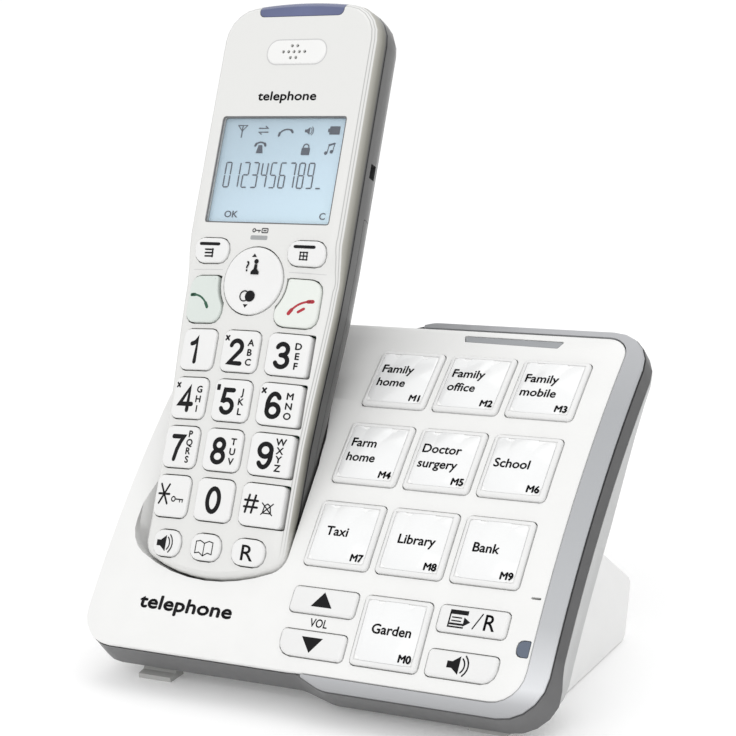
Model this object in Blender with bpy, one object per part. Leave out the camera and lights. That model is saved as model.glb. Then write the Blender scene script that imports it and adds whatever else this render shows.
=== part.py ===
"""A cordless phone in its base: a sloping, gently arched base with ten memory keys, and a handset in a cradle.

World frame: metres, +Z up, table at Z = 0, the base faces -Y and X = 0 is the middle of the base.

Two frames carry the parts:
- the panel frame (u, v, n): u along X, v up the arched top of the base, n out of it, in millimetres;
- the handset frame (x, v, n): x across, v from the last row of digit keys up to the earpiece, n out of its face.
"""

import math

import bmesh
import bpy
from mathutils import Matrix, Vector

MM = 0.001
GAP = 0.3

# Base: an arched slab on a desk stand
PANEL_RADIUS = 316.0
PANEL_TILT = math.radians(46.0)  # at v = 0, and less further up
PANEL_Y, PANEL_Z = -32.42, 33.2  # where v = 0 lies
HALF_WIDTH = 68.9
WHITE_RIGHT = 62.6
WHITE_LOW, WHITE_HIGH = -28.3, 75.0
TRIM_LOW, TRIM_HIGH = -32.3, 77.8
PLATE = 2.6  # thickness of the top housing's plate
TRIM = 0.9  # thickness of the silver trim
BAND = 5.6  # depth of the dark frame's lower edge along the sides
SLAB = 13.0  # depth of the slab where it is thickest
WALL = 1.6
CLEAR = 0.5  # between the handset and its cradle
WELL_MARGIN = CLEAR + 2 * WALL + 0.4  # from the handset to the outside of the bottom housing's well
CONTACT_X = (-8.0, 8.0)  # the charge contacts, in the handset frame

# Memory keys, and the four other keys of the base
KEY_U, KEY_PITCH_U, KEY_WIDE = -6.7, 21.3, 19.0
KEY_PITCH_V, KEY_TALL = 23.8, 18.1
LOW_KEY_V = -24.2  # lower edge of the bottom memory key
BASE_KEY_TOP, BASE_KEY_DEPTH = 0.9, 3.3
SMALL_KEY_TALL, HIGH_SMALL_V = 6.8, -12.8
MEMORY_CORNERS = (1.2, 1.2, 1.2, 1.2)

# Inside the base
SOCKETS = {"line": (14.0, 27.0), "power": (36.0, 46.0)}  # left and right edges
SPEAKER_U, SPEAKER_V = -34.0, -17.6
BOARD_V = 20.0  # where the flat board lies along the arched panel

# Handset, in its own frame
HAND_X, HAND_Y, HAND_Z = -34.6, PANEL_Y + 1.0, PANEL_Z + 8.5
HAND_TILT = math.radians(60.8)
HAND_LOW, HAND_HIGH = -15.0, 144.6
HAND_SLIM, HAND_BROAD = 22.3, 24.8  # half-widths at the bottom and at the display
SEAM = 6.3
HAND_DEEP, HAND_DEEP_LOW = 22.0, 20.0  # thickness at the display and at the bottom
CROWN_RADIUS = 107.0  # the keypad's face is arched across
DIGIT_PITCH_X, DIGIT_WIDE = 14.15, 11.6
LAST_WIDER = 0.6  # the right column of digit keys is wider, with square corners
DIGIT_PITCH_V, DIGIT_TALL = 13.4, 11.2
DIGIT_X = -20.4
HAND_KEY_TOP = 0.85
SOFT_CORNERS = (3.0, 3.0, 3.0, 3.0)
SIDE_GAP = 0.95  # beside the right column of digit keys
NAV_X, NAV_V, NAV_RADIUS = -0.5, 65.2, 9.3
DISPLAY = (-19.7, 20.3, 81.1, 111.4)  # left, right, low and high
EAR_V, EAR_PITCH = 129.6, 1.72
EAR_HOLES = [(k * EAR_PITCH, EAR_V) for k in (-2, -1, 0, 1, 2)]
EAR_HOLES += [(side * EAR_PITCH / 2, EAR_V + row * 1.7) for side in (-1, 1) for row in (-1, 1)]
COVER_LOW, COVER_HIGH, COVER_TOP = -8.0, 85.7, -10.4  # the battery cover's ends and its upper edge
CELL_X, CELL_N, CELL_TOP = 5.6, -13.3, 58.0

# Desk stand
STAND_LEFT, STAND_RIGHT = -63.2, 58.5
STAND_FLOOR = 0.4
FOOT_X = 50.0
REAR_FEET = [(-FOOT_X, PANEL_Y + 41), (FOOT_X, PANEL_Y + 41)]
FRONT_FOOT = -12.3  # its front edge, from PANEL_Y


# Frames


def panel_tilt(v):
    return PANEL_TILT - v / PANEL_RADIUS


def on_panel(u, v, n):
    """World point, in millimetres, of a point of the panel frame."""
    tilt = panel_tilt(v)
    y = PANEL_RADIUS * (math.sin(PANEL_TILT) - math.sin(tilt)) - n * math.sin(tilt)
    z = PANEL_RADIUS * (math.cos(tilt) - math.cos(PANEL_TILT)) + n * math.cos(tilt)
    return Vector((u, PANEL_Y + y, PANEL_Z + z))


HAND_FRAME = Matrix.Translation(Vector((HAND_X, HAND_Y, HAND_Z))) @ Matrix.Rotation(HAND_TILT, 4, "X")


def smooth(t):
    t = min(max(t, 0.0), 1.0)
    return t * t * (3 - 2 * t)


def crown(x, v):
    """How far the handset's face drops at x: arched at the keypad, flat at the display."""
    return -x * x / (2 * CROWN_RADIUS) * smooth((78 - v) / 14)


def hand_depth(v):
    """The handset's thickness, which grows from its bottom end to its display."""
    return HAND_DEEP_LOW + (HAND_DEEP - HAND_DEEP_LOW) * min((v - HAND_LOW) / 75, 1.0)


# Meshes: everything below is in millimetres until finish() scales it


def material(name, colour, roughness, metallic=0.0, alpha=1.0):
    made = bpy.data.materials.get(name)
    if made is None:
        made = bpy.data.materials.new(name)
        made.use_nodes = True
        shader = made.node_tree.nodes["Principled BSDF"]
        shader.inputs["Base Color"].default_value = (*colour, 1)
        shader.inputs["Roughness"].default_value = roughness
        shader.inputs["Metallic"].default_value = metallic
        shader.inputs["Alpha"].default_value = alpha
    return made


def mesh_object(name, points, faces):
    mesh = bpy.data.meshes.new(name)
    mesh.from_pydata([tuple(p) for p in points], [], faces)
    made = bpy.data.objects.new(name, mesh)
    bpy.context.scene.collection.objects.link(made)
    return made


def stack(name, rings):
    """A solid through rings of equal length, from low to high: each is an anticlockwise outline and its height."""
    count = len(rings[0][0])
    points = [(x, y, z) for outline, z in rings for x, y in outline]
    faces = [tuple(reversed(range(count)))]
    for k in range(len(rings) - 1):
        for i in range(count):
            j = (i + 1) % count
            faces.append((k * count + i, k * count + j, (k + 1) * count + j, (k + 1) * count + i))
    faces.append(tuple(range((len(rings) - 1) * count, len(rings) * count)))
    return mesh_object(name, points, faces)


def prism(name, outline, low, high):
    return stack(name, [(outline, low), (outline, high)])


def boolean(target, other, operation):
    modifier = target.modifiers.new("boolean", "BOOLEAN")
    modifier.operation = operation
    modifier.solver = "EXACT"
    modifier.object = other
    graph = bpy.context.evaluated_depsgraph_get()
    result = bpy.data.meshes.new_from_object(target.evaluated_get(graph))
    target.modifiers.clear()
    target.data = result
    bpy.data.objects.remove(other)
    return target


def cut(target, *cutters):
    for cutter in cutters:
        boolean(target, cutter, "DIFFERENCE")
    return target


def join(target, *others):
    for other in others:
        boolean(target, other, "UNION")
    return target


def reshape(target, place, cuts_v=(), cuts_x=()):
    """Slices the mesh across v and x, and then moves each corner by place(x, v, n)."""
    shape = bmesh.new()
    shape.from_mesh(target.data)
    for axis, cuts in ((1, cuts_v), (0, cuts_x)):
        for value in cuts:
            at, normal = Vector(), Vector()
            at[axis], normal[axis] = value, 1
            everything = shape.verts[:] + shape.edges[:] + shape.faces[:]
            bmesh.ops.bisect_plane(shape, geom=everything, plane_co=at, plane_no=normal, dist=1e-4)
    bmesh.ops.triangulate(shape, faces=shape.faces[:])
    for corner in shape.verts:
        corner.co = place(*corner.co)
    shape.to_mesh(target.data)
    shape.free()
    return target


def bend(target, low=-30, high=78, step=9):
    """Lays a piece made flat in (u, v, n) onto the arched panel."""
    return reshape(target, on_panel, cuts_v=range(low, high, step))


def shift(target, matrix):
    target.data.transform(matrix)
    return target


def finish(target, look, parent=None, at=(0, 0, 0), tilt=0.0, smooth_angle=35):
    """Turns millimetres into metres, sets the shading and the material, and places the piece."""
    target.data.transform(Matrix.Scale(MM, 4))
    target.data.materials.clear()
    target.data.materials.append(look)
    target.data.shade_smooth()
    target.data.set_sharp_from_angle(angle=math.radians(smooth_angle))
    target.location = Vector(at) * MM
    target.rotation_euler = (tilt, 0, 0)
    target.parent = parent
    return target


# Outlines, all anticlockwise


def rounded(corners, steps=4):
    """An outline through corners (x, y, radius), each rounded by an arc."""
    points = []
    for i, (x, y, radius) in enumerate(corners):
        here = Vector((x, y))
        back = (Vector(corners[i - 1][:2]) - here).normalized()
        ahead = (Vector(corners[(i + 1) % len(corners)][:2]) - here).normalized()
        half = back.angle(ahead) / 2
        centre = here + (back + ahead).normalized() * (radius / math.sin(half))
        start = here + back * (radius / math.tan(half)) - centre
        end = here + ahead * (radius / math.tan(half)) - centre
        turn = start.angle_signed(end)
        for k in range(steps + 1):
            angle = -turn * k / steps
            points.append(tuple(centre + Matrix.Rotation(angle, 2) @ start))
    return points


def box_outline(left, right, low, high, radius, steps=4):
    corners = ((left, low), (right, low), (right, high), (left, high))
    return rounded([(x, y, radius) for x, y in corners], steps)


def circle(x, y, radius, steps=24):
    turns = [2 * math.pi * k / steps for k in range(steps)]
    return [(x + radius * math.cos(a), y + radius * math.sin(a)) for a in turns]


def white_outline(grow=0.0):
    return rounded(
        [
            (-HALF_WIDTH - grow, WHITE_LOW - grow, 9 + grow),
            (WHITE_RIGHT + grow, WHITE_LOW - grow, 8.5 + grow),
            (WHITE_RIGHT + grow, WHITE_HIGH + grow, 6 + grow),
            (-HALF_WIDTH - grow, WHITE_HIGH + grow, 9 + grow),
        ],
        6,
    )


def slab_outline(grow=0.0, low_left=WHITE_LOW, low_right=TRIM_LOW):
    """The slab seen from above: the keypad part on the right stands out further, after a soft step."""
    left, right = -HALF_WIDTH - grow, HALF_WIDTH + grow
    low_left, low_right = low_left - grow, low_right - grow
    high_left, high_right = WHITE_HIGH + grow, TRIM_HIGH + grow
    return rounded(
        [
            (left, low_left, 9 + grow),
            (-2, low_left, 12),
            (8, low_right, 12),
            (right, low_right, 12 + grow),
            (right, high_right, 12 + grow),
            (4, high_right, 8),
            (-4, high_left, 8),
            (left, high_left, 9 + grow),
        ],
        5,
    )


def hand_width(v):
    """Half-width of the handset: slimmer along the keypad, broadest below the display."""
    return HAND_SLIM + (HAND_BROAD - HAND_SLIM) * smooth((v - 15) / 55)


def end_arc(half, tip, end_radius, corner, steps):
    """A quarter of the handset's end, from its middle to its side: a wide arc, then a round corner.

    Heights run from the tip inwards, and the last point lies on the side.
    """
    reach = end_radius - corner
    side = half - corner
    rise = end_radius - math.sqrt(reach * reach - side * side)
    wide = math.asin(side / reach)
    points = []
    for k in range(steps):
        a = wide * k / steps
        points.append((end_radius * math.sin(a), tip + end_radius * (1 - math.cos(a))))
    for k in range(steps + 1):
        a = wide + (math.pi / 2 - wide) * k / steps
        points.append((side + corner * math.sin(a), tip + rise - corner * math.cos(a)))
    return points


def hand_outline(inset=0.0, flare=0.0, high=HAND_HIGH):
    """The handset seen from the front, made smaller by inset, and wider on its left by flare."""
    low = HAND_LOW + inset
    top = high - inset
    right_half = hand_width(HAND_LOW) - inset
    left_half = right_half + flare
    corner = max(5 - inset, 0.8)
    low_right = end_arc(right_half, low, 48 - inset, corner, 4)
    low_left = end_arc(left_half, low, 48 - inset, corner + flare * 0.9, 4)
    top_half = hand_width(HAND_HIGH) - inset
    top_right = end_arc(top_half, -top, 130 - inset, max(10.5 - inset, 0.8), 5)
    top_left = end_arc(top_half + flare, -top, 130 - inset, max(10.5 - inset, 0.8), 5)
    stations = [8, 22, 34, 46, 58, 72, 90, 108, 124]
    right = low_right + [(hand_width(v) - inset, v) for v in stations]
    right += [(x, -v) for x, v in reversed(top_right)]
    left = [(-x, -v) for x, v in top_left[1:]]
    left += [(-hand_width(v) + inset - flare, v) for v in reversed(stations)]
    left += [(-x, v) for x, v in reversed(low_left[1:])]
    return right + left


# Rings of the handset from its back to its seam: how far in, and how deep where it is thickest
REAR_RINGS = [(14.5, 22.0), (11.0, 21.5), (7.0, 19.9), (4.0, 17.7)]
REAR_RINGS += [(1.9, 15.2), (0.6, 12.0), (0.2, 9.0), (0.0, 6.6)]
# Rings of the handset from its seam to its face
FACE_RINGS = [(0.0, 6.3), (0.0, 3.5), (0.3, 1.9), (0.9, 0.8), (1.9, 0.0)]


def deepen(x, v, n):
    """Tapers the back of the handset, from a piece made with its full thickness everywhere."""
    if n > -SEAM:
        return Vector((x, v, n))
    return Vector((x, v, -SEAM + (n + SEAM) * (hand_depth(v) - SEAM) / (HAND_DEEP - SEAM)))


def arch(x, v, n):
    """Arches a piece of the handset's front, from a piece made flat. The seam stays put."""
    return Vector((x, v, n + crown(x, v) * min(1.0, max(0.0, 1 + n / SEAM))))


TAPER_CUTS = [-15 + 15 * k for k in range(1, 6)]
ARCH_CUTS_V = [64, 69, 73, 78]
ARCH_CUTS_X = [-18, -12, -6, 0, 6, 12, 18]


def pocket(name, margin):
    """The space that the handset rests in, grown by margin: open upwards along the handset and to the front."""
    rings = [(hand_outline(REAR_RINGS[0][0] - margin, high=190), -REAR_RINGS[0][1] - margin)]
    for inset, depth in REAR_RINGS[1:]:
        flare = 5.2 * smooth((13 - depth) / 7)
        rings.append((hand_outline(inset - margin, flare, 190), -depth - margin * smooth((depth - 13) / 8)))
    rings.append((hand_outline(-margin, 5.2, 190), 60))
    return shift(reshape(stack(name, rings), deepen, cuts_v=TAPER_CUTS), HAND_FRAME)


def below_panel(name, top, bottom, low=WHITE_LOW + 3, high=WHITE_HIGH - 3):
    """Everything under the panel between two depths."""
    return bend(prism(name, box_outline(-HALF_WIDTH + 2.5, 0, low, high, 3), bottom, top))


# Base


def base_keys():
    """Name, left, right, low, high and corner radii of each key of the base, in the panel frame."""
    keys = []
    for row, names in enumerate((("7", "8", "9"), ("4", "5", "6"), ("1", "2", "3"))):
        for column, number in enumerate(names):
            u, v = KEY_U + column * KEY_PITCH_U, row * KEY_PITCH_V
            keys.append((f"memory_key_{number}", u, u + KEY_WIDE, v, v + KEY_TALL, MEMORY_CORNERS))
    u = KEY_U + KEY_PITCH_U
    keys.append(("memory_key_0", u, u + KEY_WIDE, LOW_KEY_V, LOW_KEY_V + KEY_TALL, MEMORY_CORNERS))
    last = KEY_U + 2 * KEY_PITCH_U
    for name, u, v, radii in (
        ("volume_up_key", KEY_U, HIGH_SMALL_V, MEMORY_CORNERS),
        ("volume_down_key", KEY_U, LOW_KEY_V, (3.6, 1.2, 1.2, 1.2)),
        ("recall_key", last, HIGH_SMALL_V, MEMORY_CORNERS),
        ("base_speaker_key", last, LOW_KEY_V, (1.2, 3.6, 1.2, 1.2)),
    ):
        keys.append((name, u, u + KEY_WIDE, v, v + SMALL_KEY_TALL, radii))
    return keys


def key_outline(left, right, low, high, radii, grow=0.0):
    left, right, low, high = left - grow, right + grow, low - grow, high + grow
    corners = ((left, low), (right, low), (right, high), (left, high))
    return rounded([(x, y, r + grow) for (x, y), r in zip(corners, radii)], 3)


def bar_outline(inset=0.0):
    """The call indicator: a bar with slanting ends."""
    return rounded(
        [
            (14.9 + inset, 73.0 - inset, 0.4),
            (15.8 + inset, 70.8 + inset, 0.4),
            (43.2 - inset, 70.4 + inset, 0.4),
            (44.6 - inset, 72.8 - inset, 0.4),
        ],
        2,
    )


def charge_lens_outline(grow=0.0):
    return rounded(
        [
            (58.6 - grow, -16.4 - grow, 1.6),
            (61.8 + grow, -16.4 - grow, 0.4),
            (61.8 + grow, -12.4 + grow, 0.4),
            (58.6 - grow, -12.4 + grow, 1.6),
        ],
        3,
    )


def make_top_housing(look):
    edge = ((0, -PLATE), (0, -0.6), (-0.2, -0.2), (-0.7, 0))
    plate = stack("top_housing", [(white_outline(grow), n) for grow, n in edge])
    for _, left, right, low, high, radii in base_keys():
        cut(plate, prism("opening", key_outline(left, right, low, high, radii, 0.35), -9, 9))
    cut(plate, prism("opening", bar_outline(), -9, 9))
    cut(plate, prism("opening", charge_lens_outline(0.2), -9, 9))
    cut(plate, prism("opening", box_outline(58.9, 61.6, -1.8, -1.2, 0.25, 2), -9, 9))
    bend(plate)
    well = boolean(pocket("well", CLEAR + WALL), below_panel("under", -1.3, -40), "INTERSECT")
    join(plate, well)
    cut(plate, pocket("cradle", CLEAR))
    for x in CONTACT_X:
        cut(plate, contact_block(x, 2.8, -17, -11, -12.8, -10.2))
    return finish(plate, look)


def contact_block(x, half, low, high, back, front):
    """A block in the floor of the cradle, given in the handset frame."""
    return shift(prism("block", box_outline(x - half, x + half, low, high, 0.3, 2), back, front), HAND_FRAME)


def make_contacts(look):
    for side, x in zip(("left", "right"), CONTACT_X):
        block = contact_block(x, 2.5, HAND_LOW - 0.1, HAND_LOW + 0.8, -12.5, -10.5)
        block.name = f"charge_contact_{side}"
        finish(block, look)


def make_trim(look):
    rings = [(slab_outline(-0.5), -TRIM), (slab_outline(-0.5), -0.4), (slab_outline(-0.9), 0)]
    trim = stack("silver_trim", rings)
    cut(trim, prism("middle", white_outline(0.2), -9, 9))
    cut(trim, prism("left", box_outline(-90, 1.5, -60, 100, 1), -9, 9))
    return finish(bend(trim), look)


def skirt(u, v, n):
    """Deepens the lower edge of the dark frame along the front of the base."""
    if n < -BAND + 0.1:
        n -= 4 * smooth((-14 - v) / 13)
    return on_panel(u, v, n)


def make_frame(look):
    foot = {"low_left": WHITE_LOW - 2.4, "low_right": TRIM_LOW - 1.0}
    frame = stack("middle_frame", [(slab_outline(0.1, **foot), -BAND), (slab_outline(-0.2), -TRIM - GAP)])
    cut(frame, prism("plate", white_outline(0.25), -PLATE - GAP, 9))
    cut(frame, stack("inside", [(slab_outline(-0.8), -20), (slab_outline(-1.8), 9)]))
    return finish(reshape(frame, skirt, cuts_v=[*range(-27, -12, 3), *range(-12, 78, 9)]), look)


def taper(u, v, n):
    """Thins the slab towards its upper edge."""
    if n < -BAND - GAP - 0.1:
        n += 5.2 * smooth((v - 18) / 55) * (-n - BAND) / (SLAB - BAND)
    return on_panel(u, v, n)


def make_bottom_housing(look):
    top = -BAND - GAP
    inner = -SLAB + WALL
    low = {"low_left": WHITE_LOW, "low_right": TRIM_LOW + 1.5}
    edge = ((-1.2, -SLAB), (-0.4, -SLAB + 1), (0.1, top))
    tray = stack("bottom_housing", [(slab_outline(grow, **low), n) for grow, n in edge])
    cut(tray, stack("inside", [(slab_outline(-3.6, **low), inner), (slab_outline(-3.4, **low), 9)]))
    for left, right in SOCKETS.values():
        cut(tray, prism("opening", box_outline(left - 0.5, right + 0.5, -2, 13.5, 0.5, 2), -30, -9))
    for k in range(5):
        v = SPEAKER_V - 5 + 2.5 * k
        cut(tray, prism("slot", box_outline(SPEAKER_U - 5, SPEAKER_U + 5, v - 0.5, v + 0.5, 0.4, 2), -30, -9.5))
    reshape(tray, taper, cuts_v=range(-30, 78, 9))
    ring = cut(prism("ring", slab_outline(3), -BAND - GAP + 0.1, 3), prism("inside", slab_outline(-1.7), -20, 9))
    cut(tray, reshape(ring, skirt, cuts_v=[*range(-28, -12, 3), *range(-8, 78, 9)]))
    well = boolean(pocket("well", WELL_MARGIN), below_panel("under", -8.5, -45), "INTERSECT")
    join(tray, well)
    under = below_panel("under", -2, -50, WHITE_LOW, WHITE_HIGH)
    cut(tray, boolean(pocket("hollow", CLEAR + WALL + 0.4), under, "INTERSECT"))
    return finish(tray, look)


def make_stand(look):
    """A hollow wedge. Its outline runs along the floor to the back, and then down under the slab."""
    under = [on_panel(0, v, -SLAB - GAP) for v in (24, 18, 9, 0, -9, -18, -27)]
    front = [(p.y - PANEL_Y, p.z) for p in under if p.z > 9]
    y, z = front[0]
    outline = [(5.4, STAND_FLOOR), (49.0, STAND_FLOOR), (50.6, 1.6), (55.4, 12.4), (55.9, 14.2), (55.2, 15.6)]
    shell = side_prism("desk_stand", outline + front, STAND_LEFT, STAND_RIGHT)
    hollow = [(12, 3), (47, 3), (53, 14.6), (y - 0.5, z - 2.6), (y - 10, 60), (-10, 60), (7.5, 12)]
    cut(shell, side_prism("hollow", hollow, STAND_LEFT + WALL, STAND_RIGHT - WALL))
    cut(shell, pocket("well", WELL_MARGIN + 0.4))
    for x, y in REAR_FEET:
        cut(shell, prism("foot pocket", box_outline(x - 5.3, x + 5.3, y - 5.3, y + 5.3, 1.2, 2), -1, 1.6))
    cut(shell, side_prism("cord notch", [(40, -2), (70, -2), (70, 6), (40, 6)], 18, 30))
    return finish(shell, look)


def side_prism(name, outline, left, right):
    """A prism along X. Its outline of (y, z), with y from PANEL_Y, runs anticlockwise as seen from +X."""
    points = [(x, PANEL_Y + y, z) for x in (left, right) for y, z in outline]
    count = len(outline)
    faces = [tuple(reversed(range(count))), tuple(range(count, 2 * count))]
    faces += [(i, (i + 1) % count, count + (i + 1) % count, count + i) for i in range(count)]
    return mesh_object(name, points, faces)


def make_feet(look):
    for side, (x, y) in zip(("left", "right"), REAR_FEET):
        pad = prism(f"foot_rear_{side}", box_outline(x - 5, x + 5, y - 5, y + 5, 1, 2), 0, 1.3)
        finish(pad, look)
    low, high = (on_panel(0, v, -SLAB - GAP) - Vector((0, PANEL_Y, 0)) for v in (-31, -25))
    outline = [(FRONT_FOOT, 0), (high.y, 0), (high.y, high.z), (low.y, low.z), (FRONT_FOOT, low.z - 0.3)]
    for side, x in (("left", -FOOT_X), ("right", FOOT_X)):
        finish(side_prism(f"foot_front_{side}", outline, x - 5.2, x + 5.2), look)


def make_base_keys(look):
    for name, left, right, low, high, radii in base_keys():
        u, v = (left + right) / 2, (low + high) / 2
        at = on_panel(u, v, 0)
        sizes = (left - u, right - u, low - v, high - v, radii)
        top = BASE_KEY_TOP
        edge = ((0, -BASE_KEY_DEPTH), (0, top - 0.5), (-0.15, top - 0.15), (-0.6, top))
        key = stack(name, [(key_outline(*sizes, grow), n) for grow, n in edge])
        finish(key, look, at=at, tilt=panel_tilt(v))


def make_lenses(bar_look, charge_look):
    bar = prism("call_indicator_lens", bar_outline(0.2), -PLATE, -0.15)
    finish(bend(bar), bar_look)
    charge = prism("charge_indicator_lens", charge_lens_outline(), -PLATE, -0.1)
    finish(bend(charge), charge_look)


def make_base_inside(board_look, rubber_look, speaker_look):
    mat = bend(prism("key_mat", box_outline(-8.4, 56.6, -25.6, 67, 2, 2), -5.15, -4.4))
    finish(mat, rubber_look)
    board = prism("base_circuit_board", box_outline(-7, 62, -22 - BOARD_V, 64 - BOARD_V, 2, 2), -9.8, -8.4)
    for left, right in SOCKETS.values():
        join(board, prism("socket", box_outline(left, right, -BOARD_V, 12 - BOARD_V, 0.5, 2), -18, -9.2))
        cut(board, prism("jack", box_outline(left + 2, right - 2, 2 - BOARD_V, 10 - BOARD_V, 0.5, 2), -19, -12))
    finish(board, board_look, at=on_panel(0, BOARD_V, 0), tilt=panel_tilt(BOARD_V))
    rings = ((4.5, -9.6), (4.5, -7.5), (6.6, -6), (6.6, -3.6))
    speaker = stack("base_speaker", [(circle(0, 0, radius, 20), n) for radius, n in rings])
    finish(speaker, speaker_look, at=on_panel(SPEAKER_U, SPEAKER_V, 0), tilt=panel_tilt(SPEAKER_V))


# Handset


def hand_keys():
    """Name, left, right, low, high and corner radii of each handset key, in the handset frame."""
    keys = []
    rows = (("star", "0", "hash"), ("7", "8", "9"), ("4", "5", "6"), ("1", "2", "3"))
    for row, names in enumerate(rows):
        for column, number in enumerate(names):
            x, v = DIGIT_X + column * DIGIT_PITCH_X, row * DIGIT_PITCH_V
            right = x + DIGIT_WIDE + (LAST_WIDER if column == 2 else 0)
            radii = (2.0, 0.6, 0.6, 2.0) if column == 2 else (2.0, 2.0, 2.0, 2.0)
            keys.append((f"digit_key_{number}", x, right, v, v + DIGIT_TALL, radii))
    for k, name in enumerate(("handset_speaker_key", "handset_book_key", "handset_recall_key")):
        left = -18.2 + 12.95 * k
        keys.append((name, left, left + 9.4, -10.5, -3.5, SOFT_CORNERS))
    keys.append(("soft_key_left", -21.1, -9.9, 69.9, 76.6, SOFT_CORNERS))
    keys.append(("soft_key_right", 9.2, 20.7, 69.9, 76.6, SOFT_CORNERS))
    keys.append(("call_key", -21.5, -9.2, 53.3, 66.3, SOFT_CORNERS))
    keys.append(("end_key", 8.0, 20.5, 53.3, 66.3, SOFT_CORNERS))
    return keys


def hand_key_solid(name, left, right, low, high, radii, grow, bottom, top, ring):
    """A key or its opening. The call and end keys have a corner cut round the navigation key."""
    body = prism(name, key_outline(left, right, low, high, radii, grow), bottom, top)
    if name in ("call_key", "end_key"):
        cut(body, prism("round", circle(NAV_X, NAV_V, NAV_RADIUS + ring, 32), bottom - 5, top + 5))
    return body


def lay(x, v, n):
    return Vector((x, v, n + crown(x, v)))


def face_solid(name):
    rings = [(hand_outline(inset), -depth) for inset, depth in FACE_RINGS]
    return stack(name, rings)


def display_outline(grow=0.0):
    left, right, low, high = DISPLAY
    return box_outline(left - grow, right + grow, low - grow, high + grow, 0.8, 2)


def lens_block(grow):
    """Where the indicator lens sits in the top end of the front housing."""
    outline = box_outline(-13.5 - grow, 13.5 + grow, 140 - grow, 150, 1.6, 3)
    return prism("lens block", outline, -5.4 - grow, 9)


def make_front_housing(look, lens_look, rig):
    front = face_solid("handset_front_housing")
    cut(front, prism("inside", hand_outline(2.4), -20, -2.2))
    for key in hand_keys():
        cut(front, hand_key_solid(*key, 0.35, -9, 9, 1.2))
        name, _, right, low, high, _ = key
        if name in ("digit_key_3", "digit_key_6", "digit_key_9", "digit_key_hash"):
            gap = box_outline(right - 3, right + SIDE_GAP, low - 0.35, high + 0.35, 0.6, 2)
            cut(front, prism("opening", gap, -9, 9))
    cut(front, prism("opening", circle(NAV_X, NAV_V, NAV_RADIUS + 0.35, 32), -9, 9))
    cut(front, prism("opening", display_outline(), -9, 9))
    for x, v in EAR_HOLES:
        cut(front, prism("opening", circle(x, v, 0.45, 6), -9, 9))
    cut(front, lens_block(0.15))
    reshape(front, arch, ARCH_CUTS_V, ARCH_CUTS_X)
    finish(front, look, rig)
    lens = boolean(face_solid("handset_indicator_lens"), lens_block(0), "INTERSECT")
    cut(lens, prism("inside", hand_outline(1.8), -20, -1.6))
    finish(lens, lens_look, rig)


def make_rear_housing(look, cover_look, rig):
    rear = rear_shell("handset_rear_housing")
    cut(rear, cover_block(0.15))
    cut(rear, prism("jack", box_outline(20, 30, 97, 101, 1.8, 3), -12.5, -9))
    finish(reshape(rear, deepen, cuts_v=TAPER_CUTS), look, rig)
    cover = boolean(rear_shell("battery_cover"), cover_block(0), "INTERSECT")
    finish(reshape(cover, deepen, cuts_v=TAPER_CUTS), cover_look, rig)


def rear_shell(name):
    shell = stack(name, [(hand_outline(inset), -depth) for inset, depth in REAR_RINGS])
    wall = [(hand_outline(inset + 1.8), -min(depth, HAND_DEEP - WALL)) for inset, depth in REAR_RINGS[1:]]
    return cut(shell, stack("inside", [*wall, (hand_outline(1.8), 5)]))


def cover_block(grow):
    """Where the battery cover lies: the back of the handset with both its sides, up to below the display."""
    outline = box_outline(-40, 40, COVER_LOW - grow, COVER_HIGH + grow, 1, 2)
    return prism("cover block", outline, -40, COVER_TOP + grow)


def make_hand_keys(look, call_look, end_look, rig):
    looks = {"call_key": call_look, "end_key": end_look}
    for key in hand_keys():
        name = key[0]
        body = hand_key_solid(*key, 0, -3.4, HAND_KEY_TOP - 0.3, 1.6)
        join(body, hand_key_solid(*key, -0.35, -1, HAND_KEY_TOP, 1.95))
        middle = Vector(((key[1] + key[2]) / 2, (key[3] + key[4]) / 2, 0))
        reshape(body, lay, cuts_x=ARCH_CUTS_X)
        shift(body, Matrix.Translation(-middle))
        finish(body, looks.get(name, look), rig, at=middle)
    rings = [(NAV_RADIUS, -3.4), (NAV_RADIUS, 0.2), (NAV_RADIUS - 0.5, 0.6), (NAV_RADIUS - 4, 0.35), (1.5, 0.2)]
    disc = stack("navigation_key", [(circle(NAV_X, NAV_V, radius, 32), n) for radius, n in rings])
    reshape(disc, lay, cuts_x=(-6, 0, 6))
    middle = Vector((NAV_X, NAV_V, 0))
    finish(shift(disc, Matrix.Translation(-middle)), look, rig, at=middle)


def make_hand_inside(window_look, display_look, board_look, speaker_look, cell_look, rig):
    window = prism("display_window", display_outline(-0.2), -1.1, -0.3)
    finish(window, window_look, rig)
    display = prism("display_module", display_outline(1.2), -5.2, -2.5)
    join(display, prism("glass", display_outline(-0.3), -3, -1.4))
    finish(display, display_look, rig)
    board = prism("handset_circuit_board", box_outline(-18.5, 18.5, -8, 118, 3, 3), -7.6, -6.4)
    finish(board, board_look, rig)
    rings = ((6, -7), (8.5, -5.4), (8.5, -2.6))
    speaker = stack("earpiece_speaker", [(circle(0, EAR_V, radius, 20), n) for radius, n in rings])
    finish(speaker, speaker_look, rig)
    for name, x in (("battery_left", -CELL_X), ("battery_right", CELL_X)):
        lengths = [(1.8, 0), (1.8, 1), (5.2, 1), (5.2, 44.5)]
        cell = stack(name, [(circle(0, 0, radius, 20), length) for radius, length in lengths])
        shift(cell, Matrix.Translation((x, CELL_TOP, CELL_N)) @ Matrix.Rotation(math.pi / 2, 4, "X"))
        finish(cell, cell_look, rig)


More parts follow.
